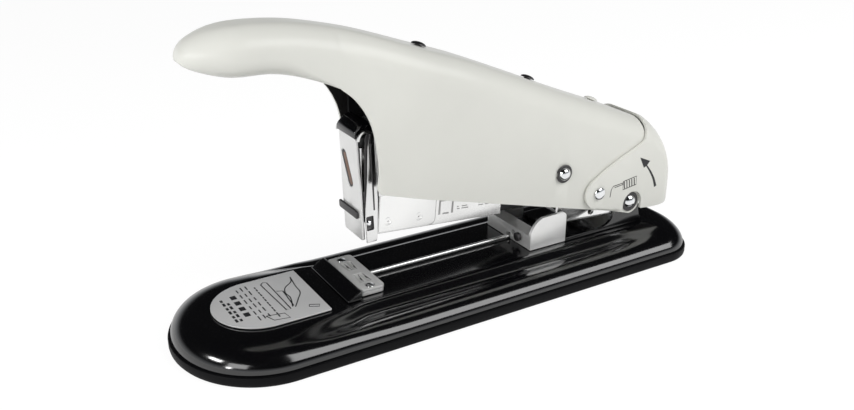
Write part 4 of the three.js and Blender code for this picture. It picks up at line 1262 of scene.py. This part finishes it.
@dataclass
class Nose(TiltedAssembly):
    """Head frame, leaf, strap, cap and driver, in the head's own frame."""

    origin: Point = (-36.1, 29.4)
    tilt: float = -0.037
    slot_ends: tuple[Point, Point] = ((0.0, 19.8), (3.5, 28.6))
    slot_radius: float = 1.95
    hook: Point = (3.0, 36.4)

    def build(self) -> None:
        """Makes leaf, cheeks, strap and cap, and dresses the driver."""
        self._leaf()
        self._cheeks()
        self._strap()
        self._cap()
        self.shop.dress(Look.SATIN_BLACK, 0.35, "driver_block")
        self.shop.dress(Look.BRIGHT_STEEL, 0.1, "driver_blade")

    def _slot(self, rim: float, shift: float = 0.0) -> list[Point]:
        """Outline of the leaf's slanted slot, round at its ends.

        Args:
            rim: Distance that it is drawn in.
            shift: Distance that it is moved across the leaf.

        Returns:
            The outline.
        """
        (low_y, low_z), (high_y, high_z) = self.slot_ends
        lean = math.atan2(high_z - low_z, high_y - low_y)
        radius = self.slot_radius - rim
        return [*Outline.arc(high_y + shift, high_z, radius, lean - QUARTER, lean + QUARTER, 14),
                *Outline.arc(low_y + shift, low_z, radius, lean + QUARTER, lean + 3 * QUARTER, 14)]

    def _leaf(self) -> None:
        """Makes the front leaf, narrower at the top, and what shows in its slot."""
        shop = self.shop
        right = [(6.7, 0.4), (6.7, 15.0), (6.6, 20.0), (6.2, 26.0), (6.1, 36.2)]
        outline = [*((-y, z) for y, z in right), (-5.3, 37.0), (5.3, 37.0), *reversed(right), (6.1, 0.0),
                   (-6.1, 0.0)]
        leaf = shop.slab("head_leaf_fine", outline, 0.0, 1.0, Axis.X)
        shop.combine(leaf, Solid.CUT, shop.slab("slot", self._slot(0.0), -1.0, 0.3, Axis.X))
        self._mount(leaf, Look.LEAF, ["head_leaf"], 0.22)
        for name, rim, shift, depth, look in (("slot_floor", 0.15, 0.0, 0.2, Look.SATIN_BLACK),
                                              ("slot_strip", 0.95, -0.45, 0.15, Look.COPPER)):
            self._mount(shop.slab(name, self._slot(rim, shift), depth, depth + 0.04, Axis.X), look)

    def _cheeks(self) -> None:
        """Makes cheeks with a hooked top, an inner plate behind each and the rear frame."""
        shop = self.shop
        hook = [*Outline.arc(*self.hook, 3.2, 0.0, math.pi, 22),
                *Outline.arc(*self.hook, 2.35, math.pi, 0.28 * math.pi, 18)]
        front = [(3.3, 33.6), (2.6, 24.0), (1.3, 12.0), (1.0, 8.0), (1.0, -0.6)]
        outline = [(4.6, -0.6), (5.0, 0.4), (5.9, 14.0), *hook, *front]
        opening = Outline.block((1.15, 3.85), (3.95, 9.15), 0.45, 4)
        inner = [(1.2, 2.0), (4.8, 2.0), (5.2, 14.0), (5.4, 38.0), (4.0, 38.6), (3.0, 37.0), (2.1, 26.0),
                 (1.2, 12.0)]
        rib = [(4.1, 11.0), (4.6, 11.0), (4.9, 35.0), (4.3, 35.0)]
        knob = [(6.5, 0.9), (7.7, 0.9), (7.95, 0.6), (8.0, 0.0)]
        wall = [(6.2, 15.5), (14.5, 15.5), (14.5, 39.6), (6.2, 39.6)]
        for side, label in SIDES:
            cheek = shop.slab(f"head_cheek_{label}", outline, *on_side(side, 7.5, 8.1))
            shop.combine(cheek, Solid.CUT, shop.slab("window", opening, *on_side(side, 6.5, 9.1)))
            self._mount(cheek, Look.BRIGHT_STEEL, ["head_frame"] if side < 0 else [], 0.16)
            for name, shape, near, far, edge in (("inner_plate", inner, 6.9, 7.3, 0.1),
                                                 ("cheek_rib", rib, 8.05, 8.3, 0.08)):
                plate = shop.slab(f"{name}_{label}", shape, *on_side(side, near, far))
                self._mount(plate, Look.DARK_STEEL, (), edge)
            self._mount(shop.turned(f"window_pin_{label}", 2.3, 6.4, flipped(side, knob)), Look.CHROME)
            side_wall = shop.slab(f"frame_wall_{label}", wall, *on_side(side, 7.8, 8.6))
            self._mount(side_wall, Look.BRIGHT_STEEL, (), 0.15)
        web = shop.box("frame_web", (13.7, 14.5), (-8.0, 8.0), (18.9, 39.6))
        self._mount(web, Look.BRIGHT_STEEL, (), 0.15)

    def _strap(self) -> None:
        """Makes the band round the leaf, rounded at its ends."""
        outline = Outline.block((-5.0, 7.55), (8.7, 10.45), 0.8, 5)
        strap = self.shop.slab("head_strap_fine", outline, -0.85, -0.05, Axis.X)
        self._mount(strap, Look.DARK_STEEL, ["head_strap"], 0.25)

    def _cap(self) -> None:
        """Makes the folded black cap: a lip on the leaf, a slope and a flat top."""
        slope = Outline.smooth([(4.2, 42.0), (2.6, 41.5), (1.0, 40.4), (-0.1, 39.4), (-0.45, 38.6)], 5)
        outline = [(-0.45, 36.9), (0.9, 36.9), (0.9, 38.0), (5.2, 41.0), (5.2, 41.9), *slope]
        cap = self.shop.slab("head_cap_fine", outline, -6.5, 6.5)
        self._mount(cap, Look.GLOSS_BLACK, ["head_cap"], 0.25)


@dataclass
class Handle(SubAssembly):
    """Lever handle with a round grip and an open channel."""

    half: float = 15.6
    grip_half: float = 12.2
    widening: Point = (-48.0, -13.0)
    wall: float = 1.2
    tip: float = -91.4
    tip_reach: float = 18.0
    grip_end: float = -44.4
    rear: float = 92.0
    hollow_ends: Point = (-80.9, 90.0)
    pin: Point = (77.5, 22.4)
    cross: Point = (42.9, 41.2)
    cap_pivot: Point = (60.0, 30.0)
    foot_line: tuple[Point, ...] = ((-25.4, 46.2), (16.7, 34.6), (69.1, 20.1))
    crown_points: tuple[Point, ...] = (
        (-91.4, 99.4), (-90.6, 101.4), (-88.6, 103.4), (-85, 105.2), (-80, 106.5), (-74, 107.15),
        (-66, 107.05), (-57, 106.2), (-49, 104.7), (-40, 102.5), (-30, 99.5), (-11, 92.8), (5.5, 87.1),
        (29.4, 77.3), (50.7, 68.2), (72, 59.6), (92, 51),
    )
    grip_points: tuple[Point, ...] = (
        (-91.4, 97.8), (-90.2, 96.6), (-88.2, 95.5), (-84.4, 94.1), (-79.2, 92.9), (-74.8, 92.5),
        (-68.3, 92.4), (-63.8, 91.9), (-57.9, 90.6), (-52.5, 88.9), (-48.1, 87.2), (-44.4, 85.4),
    )
    throat_points: tuple[Point, ...] = (
        (-44.4, 85.3), (-40.7, 82.1), (-38.2, 79), (-36.3, 75.8), (-34.7, 72), (-33.6, 67.4), (-32.8, 61.5),
        (-32.5, 54.9), (-33.1, 50), (-32, 48),
    )

    def __post_init__(self) -> None:
        """Draws the lines of crown and grip finer."""
        self.crown = Outline.smooth(self.crown_points)
        self.grip = Outline.smooth(self.grip_points)

    def build(self) -> None:
        """Makes shell, inner frame and cross pin, and dresses the rivets."""
        self._shell()
        self._liner()
        self.shop.dress(Look.DARK_STEEL, 0.1, "crown_rivet_front", "crown_rivet_middle")
        self.shop.dress(Look.WARM_WHITE, 0.1, "crown_rivet_rear")
        self._cross_pin()
        self.shop.dress(Look.CHROME, 0.1, "cap_rivet_near", "cap_rivet_far")

    def _half_at(self, x: float) -> float:
        """Half of the handle's width at x."""
        return self.grip_half + (self.half - self.grip_half) * smoothstep(x, *self.widening)

    def _stations(self, start: float) -> list[float]:
        """Places of the cross-sections, close together at the tip and the grip.

        Args:
            start: Foremost place that is kept.

        Returns:
            The places, from front to rear.
        """
        steps, dense, wide = 22, 1.2, 2.4
        tip = [self.tip + self.tip_reach * (1 - math.cos(QUARTER * i / steps)) for i in range(steps + 1)]
        grip = stations(self.tip + self.tip_reach + dense, self.grip_end - 0.6, dense)
        body = stations(self.grip_end + 1.5, self.rear, wide)
        places = [*tip, *grip, self.grip_end, self.grip_end + 0.25, *body, self.rear]
        return [x for x in places if x >= start]

    def _skin(self, name: str, start: float, offset: float) -> Object:
        """Lofts the handle: round and closed at the grip, open below behind it.

        Args:
            name: Object name.
            start: Foremost place.
            offset: Inset from the outer skin.

        Returns:
            The new object.
        """
        rings = []
        for x in self._stations(start):
            reach = min(1.0, max(0.0, (self.tip + self.tip_reach - x) / self.tip_reach))
            round_share = math.sqrt(1 - 0.96 * reach * reach)
            on_grip = x <= self.grip_end
            soften = smoothstep(x, -64.0, self.grip_end)
            foot_radius = max((5.5 - offset) * (1 - soften) + 0.5 * soften, 0.4)
            rings.append(section_ring(
                x + (1.0 if offset > 0 and x >= self.rear else 0.0),
                self._half_at(x) * round_share - offset,
                Outline.height(self.crown, x) - offset,
                Outline.height(self.grip, x) + offset if on_grip else 8.0,
                9.5 - offset,
                foot_radius if on_grip else 0.4,
            ))
        return self.shop.loft(name, rings)

    def _shell(self) -> None:
        """Makes the shell: the skin cut to its side outline, hollowed and bored, with painted shade in the
        hollow.
        """
        shop, high = self.shop, 125
        throat = Outline.smooth(self.throat_points, 5)
        heel = Outline.arc(*self.pin, 5.0, -QUARTER, 0.0, 12)
        outline = [(-110, high), (-110, 85.3), *throat, (-30.6, 47.6), *self.foot_line, *heel,
                   (83.2, 46.6), (83.2, high)]
        shell = self._skin("handle_shell_fine", self.tip, 0.0)
        shop.combine(shell, Solid.KEEP, shop.slab("side", outline, -17.0, 17.0))
        bores = ((self.pin, 2.8), (self.cross, 2.5), (self.cap_pivot, 1.9))
        shop.combine(shell, Solid.CUT, self._skin("hollow", -81.0, self.wall),
                     *(shop.cylinder("bore", *place, radius) for place, radius in bores))
        shop.piece(shell, "handle", Look.WARM_WHITE, ["handle_shell"], 0.3)
        self._paint_hollow_shade(shell)

    def _paint_hollow_shade(self, shell: Object) -> None:
        """Paints shade into the hollow: its inward faces take a near-black material that stands for the
        shade inside the handle.

        Args:
            shell: The handle's shell.
        """
        front, rear = self.hollow_ends
        # painted shade: the hollow's inward faces take the near-black material
        shell.data.materials.append(self.shop.materials.get(Look.HOLLOW_SHADE))
        for face in shell.data.polygons:
            x, y, z = face.center / MM
            crown = Outline.height(self.crown, x)
            if x < self.grip_end:
                middle = 0.5 * (crown + Outline.height(self.grip, x))
                inward = face.normal.y * y + face.normal.z * (z - middle) < 0
            else:
                deep = min(self._half_at(x) - abs(y), crown - z)
                inward = deep > self.wall - 0.2 and (face.normal.y * y < 0 or face.normal.z < 0)
            if inward and front < x < rear:
                face.material_index = 1

    def _under_crown(self, places: Iterable[float], drop: float) -> list[Point]:
        """Points a distance below the crown."""
        return [(x, Outline.height(self.crown, x) - drop) for x in places]

    def _liner(self) -> None:
        """Makes the inner frame with the press arm, inset from the shell all round."""
        shop, start, wide = self.shop, -60.0, (-20.0, 20.0)
        outline = [(x, Outline.height(self.foot_line, x) + 9.0) for x in (-31.0, 60.0)]
        outline += self._under_crown((60.0, 29.4, -11.0, -31.0), 10.5)
        liner = self._skin("handle_liner_fine", start, self.wall + 0.3)
        shop.combine(liner, Solid.KEEP, shop.slab("side", outline, *wide))
        roof = [(-32.0, 0.0), (61.0, 0.0), *self._under_crown((61.0, 29.4, -11.0, -32.0), 11.7)]
        room = shop.slab("room", roof, *wide)
        shop.combine(room, Solid.JOIN, shop.box("mouth", (-32.0, -22.0), wide, (0.0, 125.0)))
        shop.combine(room, Solid.KEEP, self._skin("inner", start, self.wall + 1.5))
        shop.combine(liner, Solid.CUT, room)
        arm = [(-25.5, 67.9), (-29.0, 67.9), (-22.0, 87.0), (-17.0, 84.0)]
        shop.combine(liner, Solid.JOIN, shop.slab("arm", arm, -3.5, 3.5))
        shop.combine(liner, Solid.CUT, shop.cylinder("bore", *self.cross, 2.5))
        shop.piece(liner, "handle", Look.SATIN_BLACK, ["handle_liner"], 0.2)

    def _cross_pin(self) -> None:
        """Makes the cross pin with domed heads on dark notched washers."""
        shop, (x, z) = self.shop, self.cross
        dome = [(-18.0, 0.0), (-17.9, 0.9), (-17.6, 1.6), (-17.1, 2.2), (-16.5, 2.45), (-16.45, 2.2)]
        shop.piece(shop.pin("cross_pin_fine", x, z, dome), "handle", Look.CHROME, ["cross_pin"])
        ring = [(15.9, 2.3), (15.9, 3.3), (16.0, 3.5), (16.3, 3.5), (16.4, 3.35), (16.4, 2.3)]
        for side, label in SIDES:
            washer = shop.turned(f"cross_washer_{label}_fine", x, z, flipped(side, ring), True)
            notch = shop.box("notch", (x - 4.2, x - 2.9), on_side(side, 15.0, 17.0), (z - 0.7, z + 0.9))
            shop.combine(washer, Solid.CUT, notch)
            shop.piece(washer, "handle", Look.DARK_STEEL, [f"cross_washer_{label}"], 0.08)


@dataclass
class RearCap(SubAssembly):
    """Cap that flips up for loading from behind."""

    half: float = 17.0
    start: float = 50.0
    end: float = 99.4
    corner: float = 6.0
    wall: float = 1.05
    notch: float = 4.7
    mark_depth: float = 0.04
    pivot: Point = (60.0, 30.0)
    pin: Point = (77.5, 22.4)
    back: tuple[Point, ...] = ((50, 70), (84, 55.6), (88, 53.4), (92, 49.6), (95.2, 44.6), (97.4, 38.4),
                               (98.8, 30))

    def build(self) -> None:
        """Makes the cap and its printed arrow and strip sign."""
        self._shell()
        self._arrow()
        self._strip_sign()

    def _shell(self) -> None:
        """Makes the cap: the skin cut to its side outline, hollowed, notched and bored."""
        shop, high, (x, z) = self.shop, 125, self.pin
        cap = self._skin("rear_cap_fine", 0.0)
        lobe = Outline.arc(*self.pivot, 6.4, math.pi * 0.62, math.pi * 1.4, 24)
        foot = [(59, 24), (72.3, 20.6), (86, 18.6), (93, 18.4), (96.6, 19.2), (98.6, 21.6)]
        seam = [(84.2, 53.5), (83.6, 51.2), (82.4, 48.8), (80.4, 46.8), (70, 42.3), (62.6, 38.9)]
        outline = [*lobe, *Outline.smooth(foot, 5), (100.4, 30), (100.4, high), (84.2, high),
                   *Outline.smooth(seam, 4)]
        shop.combine(cap, Solid.KEEP, shop.slab("side", outline, -18.0, 18.0))
        slot = [*Outline.arc(x, z, self.notch, 0.0, math.pi, 24), (x - self.notch, 0.0),
                (x + self.notch, 0.0)]
        shop.combine(cap, Solid.CUT, self._skin("hollow", self.wall), shop.slab("notch", slot, -30.0, 30.0),
                     shop.cylinder("bore", *self.pivot, 1.9))
        shop.piece(cap, "cap", Look.WARM_WHITE, ["rear_cap"], 0.3)

    def _skin(self, name: str, offset: float) -> Object:
        """Lofts the cap, with upright corners rounded at its rear.

        Args:
            name: Object name.
            offset: Inset from the outer skin.

        Returns:
            The new object.
        """
        turn, steps = self.end - self.corner, 14
        line = Outline.smooth(self.back)
        places = stations(self.start, turn, 2.6)
        places += [turn + self.corner * math.sin(QUARTER * i / steps) for i in range(steps + 1)]
        rings = []
        for x in places:
            past = max(0.0, x - turn) / self.corner
            pull = self.corner * (1 - math.sqrt(max(0.0, 1 - past * past)))
            rings.append(section_ring(x - (offset if past > 0 else 0.0), self.half - pull - offset,
                                      Outline.height(line, x) - offset, 8.0, 10.9 - offset, 0.4))
        return self.shop.loft(name, rings)

    def _arrow(self) -> None:
        """Makes a curved arrow on each side that points the way the cap opens."""
        path = Outline.smooth([(89.2, 26.9), (87.9, 30.3), (85.7, 33.9), (83.4, 36.8)])
        left, right = Outline.band(path, 1.24, 0.56)
        outline = [*right, (85.0, 38.5), (79.6, 40.9), (82.0, 36.2), *reversed(left)]
        for side, label in SIDES:
            depth = on_side(side, self.half, self.half + self.mark_depth)
            self.shop.piece(self.shop.slab(f"arrow_{label}", outline, *depth), "cap", Look.INK)

    def _strip_sign(self) -> None:
        """Makes a bent line and a hatched strip that stand for a row of staples."""
        hook = [(65.6, 27.2), (66.0, 30.4), (67.0, 31.5), (71.6, 31.9), (71.8, 31.3), (67.6, 30.8)]
        strip = [(71.9, 32.5), (78.6, 33.4), (78.7, 29.9), (72.0, 29.0), (71.9, 32.5)]
        lines = [(hook, 0.3), (strip, 0.3)]
        for i in range(5):
            hatch = [(72.8 + 1.25 * i, 29.3 + 0.16 * i), (72.4 + 1.25 * i, 32.3 + 0.16 * i)]
            lines.append((hatch, 0.42))
        for side, label in SIDES:
            depth = on_side(side, self.half, self.half + self.mark_depth)
            for i, (line, wide) in enumerate(lines, 1):
                mark = self.shop.stroke(f"strip_{label}_{i}", line, wide, *depth)
                self.shop.piece(mark, "cap", Look.INK)


@dataclass
class Studio:
    """Camera, floor and lights."""

    position: Triple = (-163.05, -260.8, 165.3)
    yaw: float = 30.97
    pitch: float = 23.39
    lens: float = 38.74
    floor_glow: float = 1.1
    seen_share: float = 0.82
    mirrored_share: float = 0.6

    def build(self) -> None:
        """Makes camera, world, floor and lights."""
        self._camera()
        self._world()
        self._floor()
        for name, place, aim, size, power in (
                ("tip_box", (-520, -20, 290), (-80, 0, 60), (130, 80), 0.85),
                ("tip_card", (-538, -218, 112), (-88, -8, 98), (50, 80), 0.3),
                ("over", (420, -430, 500), (420, -20, 20), (680, 440), 3.6),
                ("front_card", (-560, -330, 300), (-60, 0, 60), (260, 260), 0.8)):
            self._area(name, place, aim, size, power)
        bpy.context.scene.view_settings.view_transform = "Standard"

    def _camera(self) -> None:
        """Makes the camera that was fitted to the object."""
        camera = bpy.data.cameras.new("camera")
        camera.lens = self.lens
        camera.sensor_width = 36.0
        camera.sensor_fit = "HORIZONTAL"
        camera.clip_start, camera.clip_end = 0.01, 20.0
        thing = new_object("camera", camera)
        thing.location = Vector(self.position) * MM
        thing.rotation_euler = (math.radians(90 - self.pitch), 0.0, math.radians(-self.yaw))
        bpy.context.scene.camera = thing

    @staticmethod
    def _world() -> None:
        """Makes the world: white to the camera, dim as light, darker upwards in reflections."""
        world = bpy.data.worlds.new("studio")
        world.use_nodes = True
        world.node_tree.nodes.clear()
        graph = NodeGraph(world.node_tree)
        path = graph.add("ShaderNodeLightPath")
        plain, shiny, seen = (graph.add("ShaderNodeBackground") for _ in range(3))
        for node, color, strength in ((plain, (1, 1, 1, 1), 0.36), (shiny, (0.95, 0.97, 1, 1), 1.0),
                                      (seen, (1, 1, 1, 1), 1.0)):
            node.inputs["Color"].default_value = color
            node.inputs["Strength"].default_value = strength
        split = graph.add("ShaderNodeSeparateXYZ")
        graph.link(graph.add("ShaderNodeTexCoord").outputs["Generated"], split.inputs["Vector"])
        graph.link(graph.remap(split.outputs["Z"], 0.85, 0.015, 0.03, 0.28), shiny.inputs["Strength"])
        unseen = graph.mix(path.outputs["Is Glossy Ray"], plain, shiny)
        whole = graph.mix(path.outputs["Is Camera Ray"], unseen, seen)
        out = graph.add("ShaderNodeOutputWorld")
        graph.link(whole.outputs["Shader"], out.inputs["Surface"])
        bpy.context.scene.world = world

    def _floor(self) -> None:
        """Makes the floor, which glows white to the camera and in part in reflections."""
        shape = bmesh.new()
        bmesh.ops.create_grid(shape, x_segments=1, y_segments=1, size=4.0)
        mesh = bpy.data.meshes.new("floor")
        shape.to_mesh(mesh)
        shape.free()
        floor = new_object("floor", mesh)
        material = bpy.data.materials.new("floor")
        material.use_nodes = True
        material.node_tree.nodes.clear()
        graph = NodeGraph(material.node_tree)
        path = graph.add("ShaderNodeLightPath")
        diffuse = graph.add("ShaderNodeBsdfDiffuse")
        diffuse.inputs["Color"].default_value = (0.8, 0.8, 0.8, 1)
        glow = graph.add("ShaderNodeEmission")
        glow.inputs["Strength"].default_value = self.floor_glow
        seen = graph.add("ShaderNodeMath", operation="MULTIPLY")
        seen.inputs[1].default_value = self.seen_share
        graph.link(path.outputs["Is Camera Ray"], seen.inputs[0])
        share = graph.add("ShaderNodeMath", operation="MULTIPLY_ADD")
        share.inputs[1].default_value = self.mirrored_share
        graph.link(path.outputs["Is Glossy Ray"], share.inputs[0])
        graph.link(seen.outputs["Value"], share.inputs[2])
        mixed = graph.mix(share.outputs["Value"], diffuse, glow)
        out = graph.add("ShaderNodeOutputMaterial")
        graph.link(mixed.outputs["Shader"], out.inputs["Surface"])
        mesh.materials.append(material)

    @staticmethod
    def _area(name: str, place: Triple, aim: Triple, size: Point, power: float) -> None:
        """Makes one area light.

        Args:
            name: Its name.
            place: Where it stands, in millimetres.
            aim: Point that it faces, in millimetres.
            size: Its width and height, in millimetres.
            power: Its power in watts.
        """
        light = bpy.data.lights.new(name, "AREA")
        light.shape = "RECTANGLE"
        light.size, light.size_y = size[0] * MM, size[1] * MM
        light.energy = power
        thing = new_object(name, light)
        thing.location = Vector(place) * MM
        direction = (Vector(aim) - Vector(place)).normalized()
        thing.rotation_euler = direction.to_track_quat("-Z", "Y").to_euler()


def main() -> None:
    """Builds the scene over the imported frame."""
    logging.basicConfig(level=logging.INFO, format="%(message)s")
    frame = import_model()
    shop = Workshop(MaterialLibrary(), frame["nodes"])
    Studio().build()
    for part in (Foot(shop), DeckFittings(shop), Magazine(shop), Nose(shop), Handle(shop), RearCap(shop)):
        part.build()
        LOG.info("built %s", type(part).__name__)


if __name__ == "__main__":
    main()
